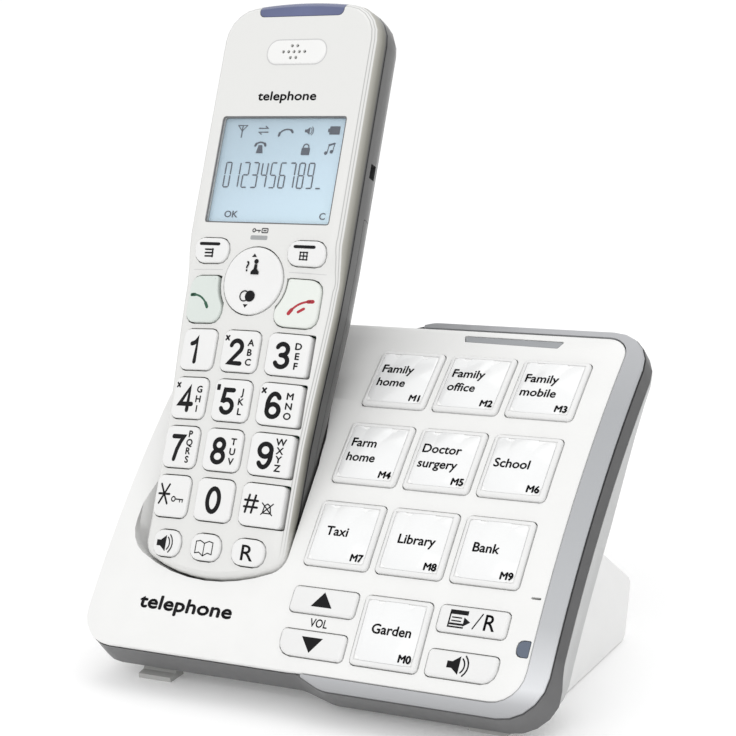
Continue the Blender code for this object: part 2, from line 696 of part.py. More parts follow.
def main():
    for thing in list(bpy.data.objects):
        bpy.data.objects.remove(thing)
    white = material("white plastic", (0.86, 0.86, 0.85), 0.3)
    pale = material("pale plastic", (0.72, 0.72, 0.72), 0.45)
    silver = material("silver paint", (0.55, 0.56, 0.58), 0.35, 0.6)
    dark = material("dark plastic", (0.12, 0.12, 0.125), 0.4)
    grey = material("grey plastic", (0.25, 0.25, 0.24), 0.4)
    rubber = material("rubber", (0.5, 0.5, 0.48), 0.85)
    metal = material("nickel", (0.75, 0.73, 0.68), 0.25, 1.0)
    board = material("circuit board", (0.02, 0.2, 0.08), 0.5)
    cone = material("speaker", (0.05, 0.05, 0.05), 0.7)
    make_top_housing(white)
    make_contacts(metal)
    make_trim(silver)
    make_frame(dark)
    make_bottom_housing(pale)
    make_stand(pale)
    make_feet(rubber)
    make_base_keys(material("key plastic", (0.88, 0.88, 0.87), 0.35))
    grey_lens = material("grey lens", (0.35, 0.37, 0.39), 0.2)
    make_lenses(grey_lens, material("blue-grey lens", (0.15, 0.2, 0.28), 0.15))
    make_base_inside(board, rubber, cone)
    rig = bpy.data.objects.new("handset_frame", None)
    bpy.context.scene.collection.objects.link(rig)
    rig.location = Vector((HAND_X, HAND_Y, HAND_Z)) * MM
    rig.rotation_euler = (HAND_TILT, 0, 0)
    make_front_housing(white, material("blue lens", (0.1, 0.13, 0.45), 0.15), rig)
    make_rear_housing(grey, grey, rig)
    key = material("handset key plastic", (0.84, 0.86, 0.86), 0.3)
    green = material("green key", (0.7, 0.84, 0.74), 0.3)
    red = material("red key", (0.86, 0.78, 0.78), 0.3)
    make_hand_keys(key, green, red, rig)
    make_hand_inside(
        material("window", (0.6, 0.75, 0.85), 0.05, alpha=0.3),
        material("display", (0.45, 0.6, 0.7), 0.3),
        board,
        cone,
        material("cell", (0.1, 0.25, 0.12), 0.4, 0.3),
        rig,
    )


main()
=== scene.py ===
"""The looks of a cordless phone in its base with ten memory keys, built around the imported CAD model.

Lengths are in millimetres until mesh_piece() scales them. Two frames place things, as in the CAD model:
- panel frame (u, v, n): u along X, v up the arched top of the base, n out of it;
- handset frame (x, v, n): x across, v towards the earpiece, n out of its face.
"""

import math

import bmesh
import bpy
from mathutils import Matrix, Vector


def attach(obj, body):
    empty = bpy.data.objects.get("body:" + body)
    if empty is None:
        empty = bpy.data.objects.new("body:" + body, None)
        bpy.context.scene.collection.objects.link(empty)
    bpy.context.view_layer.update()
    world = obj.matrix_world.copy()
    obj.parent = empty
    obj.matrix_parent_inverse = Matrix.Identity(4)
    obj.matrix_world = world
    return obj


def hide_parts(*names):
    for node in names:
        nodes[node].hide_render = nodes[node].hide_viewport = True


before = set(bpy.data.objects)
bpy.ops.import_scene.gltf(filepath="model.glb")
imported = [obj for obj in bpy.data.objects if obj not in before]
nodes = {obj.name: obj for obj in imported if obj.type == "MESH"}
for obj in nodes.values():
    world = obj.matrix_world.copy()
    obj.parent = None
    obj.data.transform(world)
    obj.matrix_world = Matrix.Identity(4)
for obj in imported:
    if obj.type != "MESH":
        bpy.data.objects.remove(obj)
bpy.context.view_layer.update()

MM = 0.001
PANEL_RADIUS = 316.0
PANEL_TILT = math.radians(46.0)
PANEL_Y, PANEL_Z = -32.42, 33.2
HAND_ORIGIN = Vector((-34.6, PANEL_Y + 1.0, PANEL_Z + 8.5))
HAND_TILT = math.radians(60.8)
HAND_NORMAL = Vector((0, -math.sin(HAND_TILT), math.cos(HAND_TILT)))
HAND_UP = Vector((0, math.cos(HAND_TILT), math.sin(HAND_TILT)))
CROWN_RADIUS = 107.0
SEAM = 6.3

KEY_U, KEY_PITCH_U, KEY_WIDE = -6.7, 21.3, 19.0
KEY_PITCH_V, KEY_TALL = 23.8, 18.1
LOW_KEY_V = -24.2
SMALL_KEY_TALL = 6.8
DIGIT_X, DIGIT_PITCH_X, DIGIT_WIDE = -20.4, 14.15, 11.6
LAST_WIDER = 0.6  # the right column of digit keys is wider, with square corners
DIGIT_PITCH_V, DIGIT_TALL = 13.4, 11.2
NAV = Vector((-0.5, 65.2))
NAV_RADIUS = 9.3
KEY_TOP = 0.85  # height of a handset key above the arched face
DISPLAY = (-19.7, 20.3, 81.1, 111.4)
EAR_V, EAR_PITCH = 129.6, 1.72
EAR_HOLES = [(k * EAR_PITCH, EAR_V) for k in (-2, -1, 0, 1, 2)]
EAR_HOLES += [(side * EAR_PITCH / 2, EAR_V + row * 1.7) for side in (-1, 1) for row in (-1, 1)]


# Frames


def panel_tilt(v):
    return PANEL_TILT - v / PANEL_RADIUS


def on_panel(u, v, n):
    tilt = panel_tilt(v)
    y = PANEL_RADIUS * (math.sin(PANEL_TILT) - math.sin(tilt)) - n * math.sin(tilt)
    z = PANEL_RADIUS * (math.cos(tilt) - math.cos(PANEL_TILT)) + n * math.cos(tilt)
    return Vector((u, PANEL_Y + y, PANEL_Z + z))


def smooth(t):
    t = min(max(t, 0.0), 1.0)
    return t * t * (3 - 2 * t)


def crown(x, v):
    return -x * x / (2 * CROWN_RADIUS) * smooth((78 - v) / 14)


def on_hand(x, v, n):
    return HAND_ORIGIN + Vector((x, 0, 0)) + HAND_UP * v + HAND_NORMAL * n


def on_face(x, v, n):
    """On the handset's arched face."""
    return on_hand(x, v, n + crown(x, v))


def on_base_key(left, low, wide=KEY_WIDE, tall=KEY_TALL):
    """Places (x, y, n), measured from the middle of a base key, in that key's own flat frame."""
    u, v = left + wide / 2, low + tall / 2
    tilt = panel_tilt(v)
    up = Vector((0, math.cos(tilt), math.sin(tilt)))
    out = Vector((0, -math.sin(tilt), math.cos(tilt)))
    middle = on_panel(u, v, 0)
    return lambda x, y, n: middle + Vector((x, 0, 0)) + up * y + out * n


# Flat outlines and shapes: a shape is (points, faces), in two dimensions


def rounded(corners, steps=5):
    points = []
    for i, (x, y, radius) in enumerate(corners):
        here = Vector((x, y))
        back = (Vector(corners[i - 1][:2]) - here).normalized()
        ahead = (Vector(corners[(i + 1) % len(corners)][:2]) - here).normalized()
        half = back.angle(ahead) / 2
        centre = here + (back + ahead).normalized() * (radius / math.sin(half))
        start = here + back * (radius / math.tan(half)) - centre
        end = here + ahead * (radius / math.tan(half)) - centre
        turn = start.angle_signed(end)
        for k in range(steps + 1):
            points.append(tuple(centre + Matrix.Rotation(-turn * k / steps, 2) @ start))
    return points


def box_outline(left, right, low, high, radius, steps=5):
    return rounded(
        [(left, low, radius), (right, low, radius), (right, high, radius), (left, high, radius)], steps
    )


def circle(x, y, radius, steps=32):
    turns = [2 * math.pi * k / steps for k in range(steps)]
    return [(x + radius * math.cos(a), y + radius * math.sin(a)) for a in turns]


def resample(outline, count):
    """The same closed outline with evenly spaced points."""
    points = [Vector(p) for p in outline]
    ends = points[1:] + points[:1]
    lengths = [(b - a).length for a, b in zip(points, ends)]
    total = sum(lengths)
    result, i, walked = [], 0, 0.0
    for k in range(count):
        target = total * k / count
        while walked + lengths[i] < target:
            walked += lengths[i]
            i += 1
        result.append(points[i].lerp(ends[i], (target - walked) / max(lengths[i], 1e-9)))
    return result


def soften(outline, rounds):
    """Rounds the corners of a closed outline by averaging neighbours."""
    points = [Vector(p) for p in outline]
    for _ in range(rounds):
        points = [
            (points[i - 1] + points[i] * 2 + points[(i + 1) % len(points)]) / 4 for i in range(len(points))
        ]
    return points


def inset(outline, amount):
    """Moves a closed anticlockwise outline inwards."""
    points = [Vector(p) for p in outline]
    result = []
    for i, here in enumerate(points):
        a = (here - points[i - 1]).normalized()
        b = (points[(i + 1) % len(points)] - here).normalized()
        normal = Vector((-(a.y + b.y), a.x + b.x)).normalized()
        facing = max(0.5, normal.dot(Vector((-a.y, a.x))))
        result.append(here + normal * (amount / facing))
    return [tuple(p) for p in result]


def polygon(points):
    return list(points), [tuple(range(len(points)))]


def merged(*shapes):
    points, faces = [], []
    for more_points, more_faces in shapes:
        faces += [tuple(i + len(points) for i in face) for face in more_faces]
        points += more_points
    return points, faces


def moved(shape, x=0.0, y=0.0, scale=1.0, wide=1.0, lean=0.0, turn=0.0):
    """The shape scaled, widened, leant and turned about its own origin, and then moved."""
    c, s = math.cos(math.radians(turn)), math.sin(math.radians(turn))
    points = []
    for px, py in shape[0]:
        px, py = (px * wide + py * lean) * scale, py * scale
        points.append((x + px * c - py * s, y + px * s + py * c))
    return points, shape[1]


def band(outer, inner):
    """The flat ring between two closed outlines of equal length."""
    count = len(outer)
    faces = [(i, (i + 1) % count, count + (i + 1) % count, count + i) for i in range(count)]
    return list(outer) + list(inner), faces


def ring(x, y, radius, width, steps=24):
    return band(circle(x, y, radius + width / 2, steps), circle(x, y, radius - width / 2, steps))


def arc(x, y, radius, start, end, steps=10):
    angles = [math.radians(start + (end - start) * k / steps) for k in range(steps + 1)]
    return [(x + radius * math.cos(a), y + radius * math.sin(a)) for a in angles]


def stroke(line, width, closed=False):
    """A line of one width with round ends."""
    points = [Vector(p) for p in line]
    if closed:
        return band(inset(line, -width / 2), inset(line, width / 2))
    left, right = [], []
    for i, here in enumerate(points):
        back = (here - points[max(i - 1, 0)]).normalized() if i else (points[1] - here).normalized()
        ahead = (points[i + 1] - here).normalized() if i + 1 < len(points) else back
        along = (back + ahead).normalized()
        side = Vector((-along.y, along.x)) * (width / 2 / max(0.5, along.dot(back)))
        left.append(here + side)
        right.append(here - side)
    count = len(points)
    corners = right + left
    faces = [(k, k + 1, count + k + 1, count + k) for k in range(count - 1)]
    for first, last, ahead in (
        (right[-1], left[-1], points[-1] - points[-2]), (left[0], right[0], points[0] - points[1])
    ):
        middle, reach = (first + last) / 2, ahead.normalized() * width / 2
        cap = [middle + (first - middle) * math.cos(a) + reach * math.sin(a) for a in (0.8, 1.57, 2.34)]
        faces.append(tuple(range(len(corners), len(corners) + 5)))
        corners += [first, *cap, last]
    return [tuple(p) for p in corners], faces


def lettering(
    words, height, x=0.0, y=0.0, wide=1.0, bold=0.0, lean=0.0, spacing=1.0, align="middle", span=0.0
):
    """Plain capitals or words, as flat shapes. height is that of a capital letter, span the width to fill."""
    curve = bpy.data.curves.new("lettering", "FONT")
    curve.body = words
    curve.size = 1
    curve.resolution_u = 3
    curve.space_character = spacing
    curve.offset = bold
    thing = bpy.data.objects.new("lettering", curve)
    bpy.context.scene.collection.objects.link(thing)
    mesh = thing.evaluated_get(bpy.context.evaluated_depsgraph_get()).to_mesh()
    points = [tuple(p.co[:2]) for p in mesh.vertices]
    faces = [tuple(p.vertices) for p in mesh.polygons]
    bpy.data.objects.remove(thing)
    bpy.data.curves.remove(curve)
    scale = height / CAPITAL
    shape = moved((points, faces), scale=scale, wide=wide, lean=lean)
    xs = [p[0] for p in shape[0]]
    if span:
        shape = moved(shape, wide=span / (max(xs) - min(xs)))
        xs = [p[0] for p in shape[0]]
    middle = (min(xs) + max(xs)) / 2 if align == "middle" else min(xs)
    return moved(shape, x - middle, y - height / 2)


def heavier(shape, by):
    """The same print made bolder: copies side by side, by this much to each side."""
    return merged(*(moved(shape, x, y) for x, y in ((-by, 0), (by, 0), (0, -by), (0, by))))


CAPITAL = 0.729  # height of a capital of the built-in font, at size 1


# Meshes


def mesh_piece(name, shape, place, look, body, replaces=(), angle=38):
    """A piece from a bmesh in flat millimetres, put in place, scaled and made to ride."""
    for corner in shape.verts:
        corner.co = place(*corner.co) * MM
    bmesh.ops.recalc_face_normals(shape, faces=shape.faces[:])
    mesh = bpy.data.meshes.new(name)
    shape.to_mesh(mesh)
    shape.free()
    mesh.shade_smooth()
    mesh.set_sharp_from_angle(angle=math.radians(angle))
    mesh.materials.append(look)
    piece = bpy.data.objects.new(name, mesh)
    bpy.context.scene.collection.objects.link(piece)
    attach(piece, body)
    if replaces:
        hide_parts(*replaces)
    return piece


def slice_up(shape, axis, step):
    """Cuts every face at multiples of step, so that a flat shape can follow a curved one."""
    values = [corner.co[axis] for corner in shape.verts]
    first, last = math.ceil(min(values) / step), math.floor(max(values) / step)
    for k in range(first, last + 1):
        at, normal = Vector(), Vector()
        at[axis], normal[axis] = k * step + 0.013, 1
        everything = shape.verts[:] + shape.edges[:] + shape.faces[:]
        bmesh.ops.bisect_plane(shape, geom=everything, plane_co=at, plane_no=normal, dist=1e-5)


def print_on(name, shapes, place, look, body, lift=0.03, depth=0.06, step=1.5, axis=0):
    """Thin raised print: flat shapes lifted a little above the surface that place() follows."""
    points, faces = merged(*shapes)
    shape = bmesh.new()
    corners = [shape.verts.new((x, y, lift)) for x, y in points]
    for face in faces:
        try:
            shape.faces.new([corners[i] for i in face])
        except ValueError:
            continue
    bmesh.ops.triangulate(shape, faces=shape.faces[:])
    if step:
        slice_up(shape, axis, step)
    bmesh.ops.recalc_face_normals(shape, faces=shape.faces[:])
    made = bmesh.ops.extrude_face_region(shape, geom=shape.faces[:])
    for corner in made["geom"]:
        if isinstance(corner, bmesh.types.BMVert):
            corner.co.z -= depth
    return mesh_piece(name, shape, place, look, body)


def stacked(outline, profile, step=0.0, axis=0):
    """A closed bmesh through copies of an outline, from low to high, each with an inset and a height from profile."""
    shape = bmesh.new()
    rings = []
    for amount, height in profile:
        rings.append([shape.verts.new((x, y, height)) for x, y in inset(outline, amount)])
    count = len(outline)
    for low, high in zip(rings, rings[1:]):
        for i in range(count):
            j = (i + 1) % count
            shape.faces.new((low[i], low[j], high[j], high[i]))
    shape.faces.new(rings[0][::-1])
    shape.faces.new(rings[-1])
    if step:
        slice_up(shape, axis, step)
    return shape


# Materials


def new_material(name):
    made = bpy.data.materials.new(name)
    made.use_nodes = True
    tree = made.node_tree
    return made, tree, tree.nodes["Principled BSDF"]


def noise(tree, size, detail=3.0):
    """Noise in the object's own space, with blotches of about size millimetres."""
    place = tree.nodes.new("ShaderNodeTexCoord")
    made = tree.nodes.new("ShaderNodeTexNoise")
    made.inputs["Scale"].default_value = 1 / (size * MM)
    made.inputs["Detail"].default_value = detail
    tree.links.new(place.outputs["Object"], made.inputs["Vector"])
    return made.outputs["Fac"]


def ramp(tree, value, low, high, stops):
    """A colour ramp over a value from low to high, with stops of (value, colour)."""
    spread = tree.nodes.new("ShaderNodeMapRange")
    spread.inputs["From Min"].default_value = low
    spread.inputs["From Max"].default_value = high
    tree.links.new(value, spread.inputs["Value"])
    made = tree.nodes.new("ShaderNodeValToRGB")
    elements = made.color_ramp.elements
    while len(elements) < len(stops):
        elements.new(0.5)
    for element, (at, colour) in zip(elements, stops):
        element.position = (at - low) / (high - low)
        element.color = (*colour, 1)
    tree.links.new(spread.outputs["Result"], made.inputs["Fac"])
    return made.outputs["Color"]


def height_along(tree, origin, direction):
    """How far a point lies from origin along direction, in millimetres."""
    place = tree.nodes.new("ShaderNodeTexCoord")
    product = tree.nodes.new("ShaderNodeVectorMath")
    product.operation = "DOT_PRODUCT"
    product.inputs[1].default_value = direction / MM
    tree.links.new(place.outputs["Object"], product.inputs[0])
    less = tree.nodes.new("ShaderNodeMath")
    less.operation = "SUBTRACT"
    less.inputs[1].default_value = origin.dot(direction)
    tree.links.new(product.outputs["Value"], less.inputs[0])
    return less.outputs["Value"]


def calculated(tree, operation, a, b):
    """A Math node over two values, each a number or a socket."""
    made = tree.nodes.new("ShaderNodeMath")
    made.operation = operation
    for socket, value in zip(made.inputs, (a, b)):
        if isinstance(value, bpy.types.NodeSocket):
            tree.links.new(value, socket)
        else:
            socket.default_value = value
    return made.outputs["Value"]


def height_on_handset(tree):
    """How far a point lies above the handset's arched face, in millimetres: the seam is at -6.3."""
    x, v, n = (height_along(tree, HAND_ORIGIN, way) for way in (Vector((1, 0, 0)), HAND_UP, HAND_NORMAL))
    arched = tree.nodes.new("ShaderNodeMapRange")
    arched.interpolation_type = "SMOOTHSTEP"
    for socket, value in (("From Min", 64), ("From Max", 78), ("To Min", 1), ("To Max", 0)):
        arched.inputs[socket].default_value = value
    tree.links.new(v, arched.inputs["Value"])
    square = calculated(tree, "MULTIPLY", x, x)
    drop = calculated(
        tree,
        "MULTIPLY",
        calculated(tree, "MULTIPLY", square, arched.outputs["Result"]),
        -1 / (2 * CROWN_RADIUS),
    )
    spread = calculated(tree, "ADD", calculated(tree, "DIVIDE", drop, SEAM), 1.0)
    return calculated(tree, "DIVIDE", calculated(tree, "SUBTRACT", n, drop), spread)


def surface(
    name,
    colour,
    roughness,
    grain=0.0,
    grain_size=0.35,
    mottle=0.02,
    metallic=0.0,
    coat=0.0,
    bands=None,
    **sockets,
):
    """A moulded or painted surface: faint mottling, a fine grain in its bump and an uneven gloss.

    bands is (measure, low, high, [(height, colour)], [(height, metallic)]) for colour that changes with height,
    where measure is a function that adds the height's nodes: two-tone paint, and painted light and shade.
    """
    made, tree, shader = new_material(name)
    soft = noise(tree, 9, 2)
    if bands:
        measure, low, high, colours, metals = bands
        height = measure(tree)
        base = ramp(tree, height, low, high, colours)
        tree.links.new(
            ramp(tree, height, low, high, [(h, (m, m, m)) for h, m in metals]), shader.inputs["Metallic"]
        )
    else:
        darker = [c * (1 - mottle) for c in colour]
        base = ramp(tree, soft, 0.3, 0.7, [(0.3, darker), (0.7, colour)])
        shader.inputs["Metallic"].default_value = metallic
    tree.links.new(base, shader.inputs["Base Color"])
    gloss = ramp(
        tree,
        noise(tree, 3.5, 4),
        0.3,
        0.7,
        [(0.3, [roughness * 0.92] * 3), (0.7, [min(1.0, roughness * 1.08)] * 3)],
    )
    tree.links.new(gloss, shader.inputs["Roughness"])
    if grain:
        bump = tree.nodes.new("ShaderNodeBump")
        bump.inputs["Strength"].default_value = grain
        bump.inputs["Distance"].default_value = 0.02 * MM
        tree.links.new(noise(tree, grain_size, 2), bump.inputs["Height"])
        tree.links.new(bump.outputs["Normal"], shader.inputs["Normal"])
    shader.inputs["Coat Weight"].default_value = coat
    shader.inputs["Coat Roughness"].default_value = 0.12
    for socket, value in sockets.items():
        shader.inputs[socket.replace("_", " ")].default_value = value
    return made


WHITE = (0.83, 0.83, 0.82)
# The handset's white, a darker copy of the base's WHITE: painted shade for its steeper face.
SHADED_FRONT_WHITE = (0.735, 0.735, 0.72)
# Grey for the fine moulded ridges along the handset's sides: painted shade of the ridges.
RIDGE_SHADE_GREY = (0.46, 0.46, 0.45)
# Champagne rim tones: paler towards the face and darker towards the seam, painted light and shade on its curve.
LIT_CHAMPAGNE = (0.46, 0.45, 0.41)
CHAMPAGNE = (0.21, 0.205, 0.175)
SHADED_CHAMPAGNE = (0.12, 0.117, 0.1)
# Black at the seam: a real black band with the gap's painted shadow in it.
SEAM_BLACK_AND_GAP_SHADE = (0.012, 0.012, 0.012)
# The rear housing's silver paint given as dark grey: painted shade.
SHADED_REAR_SILVER = (0.075, 0.075, 0.074)
PANEL_UP = Vector((0, math.cos(PANEL_TILT), math.sin(PANEL_TILT)))

white_gloss = surface("white_gloss", WHITE, 0.3, grain=0.05, grain_size=1.2, coat=0.2)
key_white = surface("key_white", (0.80, 0.80, 0.795), 0.32, grain=0.12, coat=0.1)
label_paper = surface("label_paper", (0.90, 0.90, 0.895), 0.55, grain=0.25, grain_size=0.15, mottle=0.01)
cover_clear = surface("cover_clear", (0.86, 0.865, 0.865), 0.12, mottle=0.005, coat=0.5)
pale_matte = surface("pale_matte", (0.78, 0.78, 0.775), 0.48, grain=0.5, grain_size=0.3)
pale_edge = surface("pale_edge", (0.47, 0.475, 0.475), 0.42, grain=0.4, grain_size=0.3)
# Its colour by height is painted light and shade: darker at the lower edge, a painted highlight band just above it,
# and a painted reflection gradient over the rest.
silver_paint_and_painted_sheen = surface(
    "silver_paint_and_painted_sheen",
    WHITE,
    0.36,
    grain=0.25,
    grain_size=0.12,
    coat=0.1,
    bands=(
        lambda tree: height_along(tree, on_panel(0, 22, 0), PANEL_UP),
        -56,
        56,
        [
            (-56, (0.31, 0.315, 0.32)),
            (-50, (0.47, 0.475, 0.49)),
            (-46, (0.74, 0.75, 0.77)),
            (-30, (0.50, 0.51, 0.525)),
            (0, (0.455, 0.465, 0.48)),
            (30, (0.42, 0.43, 0.445)),
            (56, (0.46, 0.465, 0.48)),
        ],
        [(-56, 0.55), (56, 0.55)],
    ),
)
# Lighter towards its lower edge: a painted reflection.
dark_band = surface(
    "dark_band",
    WHITE,
    0.42,
    grain=0.4,
    grain_size=0.2,
    bands=(
        lambda tree: height_along(tree, on_panel(0, 22, 0), PANEL_UP),
        -60,
        56,
        [
            (-60, (0.15, 0.15, 0.152)),
            (-48, (0.115, 0.115, 0.117)),
            (-36, (0.056, 0.056, 0.058)),
            (56, (0.046, 0.046, 0.047)),
        ],
        [(-60, 0.0), (56, 0.0)],
    ),
)
rubber = surface("rubber", (0.42, 0.42, 0.41), 0.8, grain=0.7, grain_size=0.25)
nickel = surface("nickel", (0.72, 0.7, 0.66), 0.22, grain=0.3, grain_size=0.1, metallic=1.0)
board_green = surface(
    "board_green", (0.02, 0.16, 0.07), 0.4, grain=0.4, grain_size=0.6, mottle=0.25, coat=0.3
)
speaker_black = surface("speaker_black", (0.03, 0.03, 0.03), 0.6, grain=0.6, grain_size=0.2)
cell_sleeve = surface("cell_sleeve", (0.06, 0.18, 0.1), 0.3, grain=0.1, mottle=0.1, metallic=0.3, coat=0.4)
call_green = surface("call_green", (0.67, 0.72, 0.685), 0.3, grain=0.1, coat=0.15)
end_red = surface("end_red", (0.76, 0.79, 0.75), 0.3, grain=0.1, coat=0.15)
bar_lens = surface("bar_lens", (0.33, 0.34, 0.355), 0.3, grain=0.1, coat=0.1)
charge_lens = surface("charge_lens", (0.11, 0.135, 0.185), 0.3, grain=0.1, coat=0.05)
violet_lens = surface("violet_lens", (0.115, 0.135, 0.26), 0.3, grain=0.1, mottle=0.12, coat=0.1)
ink_black = surface(
    "ink_black", (0.006, 0.006, 0.007), 0.5, grain=0.2, grain_size=0.1, Specular_IOR_Level=0.15
)
ink_label = surface(
    "ink_label", (0.010, 0.010, 0.011), 0.55, grain=0.2, grain_size=0.1, Specular_IOR_Level=0.15
)
ink_grey = surface("ink_grey", (0.14, 0.14, 0.145), 0.45, grain=0.2, grain_size=0.1)
ink_light = surface("ink_light", (0.34, 0.35, 0.355), 0.4, grain=0.2, grain_size=0.1)
# Grey for moulded grooves and edges: painted shade.
groove_shade = surface("groove_shade", (0.58, 0.58, 0.58), 0.4, grain=0.2, grain_size=0.1)
ink_green = surface("ink_green", (0.01, 0.09, 0.045), 0.4, grain=0.2, grain_size=0.1)
ink_red = surface("ink_red", (0.42, 0.015, 0.03), 0.4, grain=0.2, grain_size=0.1)
crystal = surface("crystal", (0.02, 0.03, 0.055), 0.35, grain=0.1, grain_size=0.2)

SIDE = (height_on_handset, -12.0, 0.0)
# The handset's side bands by height: the seam's black band with the gap's painted shadow, the champagne rim with
# painted light and shade, and grey lines of painted shade for the moulded ridges.
front_paint = surface(
    "front_paint",
    WHITE,
    0.3,
    grain=0.05,
    grain_size=1.2,
    coat=0.3,
    bands=(
        *SIDE,
        [
            (-12, SEAM_BLACK_AND_GAP_SHADE),
            (-5.75, SEAM_BLACK_AND_GAP_SHADE),
            (-5.65, SHADED_CHAMPAGNE),
            (-4.2, CHAMPAGNE),
            (-1.8, LIT_CHAMPAGNE),
            (-1.65, SHADED_FRONT_WHITE),
            (-1.25, SHADED_FRONT_WHITE),
            (-1.15, RIDGE_SHADE_GREY),
            (-1.0, RIDGE_SHADE_GREY),
            (-0.9, SHADED_FRONT_WHITE),
            (-0.55, SHADED_FRONT_WHITE),
            (-0.5, RIDGE_SHADE_GREY),
            (-0.38, RIDGE_SHADE_GREY),
            (-0.33, SHADED_FRONT_WHITE),
        ],
        [(-12, 0.0), (-5.7, 0.0), (-5.65, 0.5), (-1.8, 0.5), (-1.65, 0.0)],
    ),
)
# Dark grey standing for the silver rear housing in painted shade, with black at the seam that holds the gap's painted
# shadow.
rear_paint = surface(
    "rear_paint",
    SHADED_REAR_SILVER,
    0.36,
    grain=0.35,
    grain_size=0.25,
    coat=0.1,
    bands=(
        *SIDE,
        [(-12, SHADED_REAR_SILVER), (-7.1, SHADED_REAR_SILVER), (-7.0, SEAM_BLACK_AND_GAP_SHADE), (0, SEAM_BLACK_AND_GAP_SHADE)],
        [(-12, 0.25), (-7.1, 0.25), (-7.0, 0.0)],
    ),
)


def fade_below(made, colour, high, low):
    """Turns a banded paint into one plain colour towards the handset's lower end, from v = high to v = low."""
    tree = made.node_tree
    shader = next(node for node in tree.nodes if node.type == "BSDF_PRINCIPLED")
    height = height_along(tree, on_hand(0, 0, 0), HAND_UP)
    keep = ramp(tree, height, low, high, [(low, (0, 0, 0)), (high, (1, 1, 1))])
    for socket, plain in (("Base Color", (*colour, 1)), ("Metallic", (0, 0, 0, 1))):
        mix = tree.nodes.new("ShaderNodeMix")
        mix.data_type = "RGBA"
        tree.links.new(keep, mix.inputs[0])
        mix.inputs[6].default_value = plain
        tree.links.new(shader.inputs[socket].links[0].from_socket, mix.inputs[7])
        tree.links.new(mix.outputs[2], shader.inputs[socket])


# At the lower end the side bands turn white: painted light over the seam's black and the gap's shade there.
fade_below(front_paint, SHADED_FRONT_WHITE, 1.0, -8.0)


def display_material():
    """A pale blue liquid crystal display, lighter towards its lower right: a painted reflection. It also glows
    faintly, which is painted light.
    """
    made, tree, shader = new_material("lcd_glass")
    direction = (Vector((0.45, 0, 0)) - HAND_UP * 0.9).normalized()
    height = height_along(tree, on_hand(0, 96, 0), direction)
    shades = [
        (-24, (0.33, 0.43, 0.50)),
        (-6, (0.40, 0.52, 0.60)),
        (6, (0.47, 0.60, 0.69)),
        (24, (0.54, 0.69, 0.77)),
    ]
    colour = ramp(tree, height, -24, 24, shades)
    tree.links.new(colour, shader.inputs["Base Color"])
    # The faint glow is painted light.
    tree.links.new(colour, shader.inputs["Emission Color"])
    shader.inputs["Emission Strength"].default_value = 0.12
    shader.inputs["Roughness"].default_value = 0.4
    return made


def window_material():
    made, tree, shader = new_material("clear_window")
    shader.inputs["Base Color"].default_value = (0.9, 0.95, 1, 1)
    shader.inputs["Alpha"].default_value = 0.05
    shader.inputs["Roughness"].default_value = 0.05
    bump = tree.nodes.new("ShaderNodeBump")
    bump.inputs["Strength"].default_value = 0.02
    bump.inputs["Distance"].default_value = 0.01 * MM
    tree.links.new(noise(tree, 6, 1), bump.inputs["Height"])
    tree.links.new(bump.outputs["Normal"], shader.inputs["Normal"])
    return made


lcd_glass = display_material()
clear_window = window_material()

FINISHES = {
    "top_housing": white_gloss,
    "silver_trim": silver_paint_and_painted_sheen,
    "middle_frame": dark_band,
    "bottom_housing": pale_edge,
    "desk_stand": pale_matte,
    "call_indicator_lens": bar_lens,
    "charge_indicator_lens": charge_lens,
    "key_mat": rubber,
    "base_circuit_board": board_green,
    "base_speaker": speaker_black,
    "handset_front_housing": front_paint,
    "handset_rear_housing": rear_paint,
    "battery_cover": rear_paint,
    "handset_indicator_lens": violet_lens,
    "display_window": clear_window,
    "display_module": lcd_glass,
    "handset_circuit_board": board_green,
    "earpiece_speaker": speaker_black,
    "battery_left": cell_sleeve,
    "battery_right": cell_sleeve,
}
for name, node in nodes.items():
    look = FINISHES.get(name, key_white)
    if name.startswith("foot"):
        look = rubber
    elif name.startswith("charge_contact"):
        look = nickel
    node.data.materials.clear()
    node.data.materials.append(look)
    weld = node.modifiers.new("weld", "WELD")
    weld.merge_threshold = 1e-6
    node.data.shade_smooth()
    smooth_by_angle = node.modifiers.new("edges", "EDGE_SPLIT")
    smooth_by_angle.split_angle = math.radians(34)


# Icons, each about its own middle, in millimetres


def speaker_icon():
    cone = polygon([(-2.0, -0.55), (-1.1, -0.55), (0.2, -1.5), (0.2, 1.5), (-1.1, 0.55), (-2.0, 0.55)])
    waves = [stroke(arc(-0.4, 0, radius, -48, 48, 6), 0.26) for radius in (1.5, 2.15)]
    return merged(cone, *waves)


def book_icon():
    left = [(-2.3, -1.2), (-2.3, 1.5), (-1.2, 1.75), (0, 1.2)]
    right = [(2.3, -1.2), (2.3, 1.5), (1.2, 1.75), (0, 1.2)]
    foot = [(-2.3, -1.2), (-1.2, -0.95), (0, -1.7), (1.2, -0.95), (2.3, -1.2)]
    return merged(
        stroke(left, 0.24), stroke(right, 0.24), stroke(foot, 0.24), stroke([(0, 1.2), (0, -1.6)], 0.22)
    )


def handset_icon(thick=0.5):
    """A handset seen from the side, arched upwards."""
    bow = stroke(arc(0, -3.0, 3.6, 48, 132, 10), thick)
    ends = [
        moved(
            stroke([(-0.5, 0), (0.45, 0)], thick * 1.55), side * 2.35, -0.45, turn=side * -62
        ) for side in (-1, 1)
    ]
    return merged(bow, *ends)


def person_icon():
    head = polygon(circle(0, 1.35, 0.62, 14))
    body = polygon(
        [
            (-1.15, -1.9),
            (1.15, -1.9),
            (1.15, -1.2),
            (0.45, -0.5),
            (0.4, 0.65),
            (-0.4, 0.65),
            (-0.45, -0.5),
            (-1.15, -1.2),
        ],
    )
    return merged(head, body)


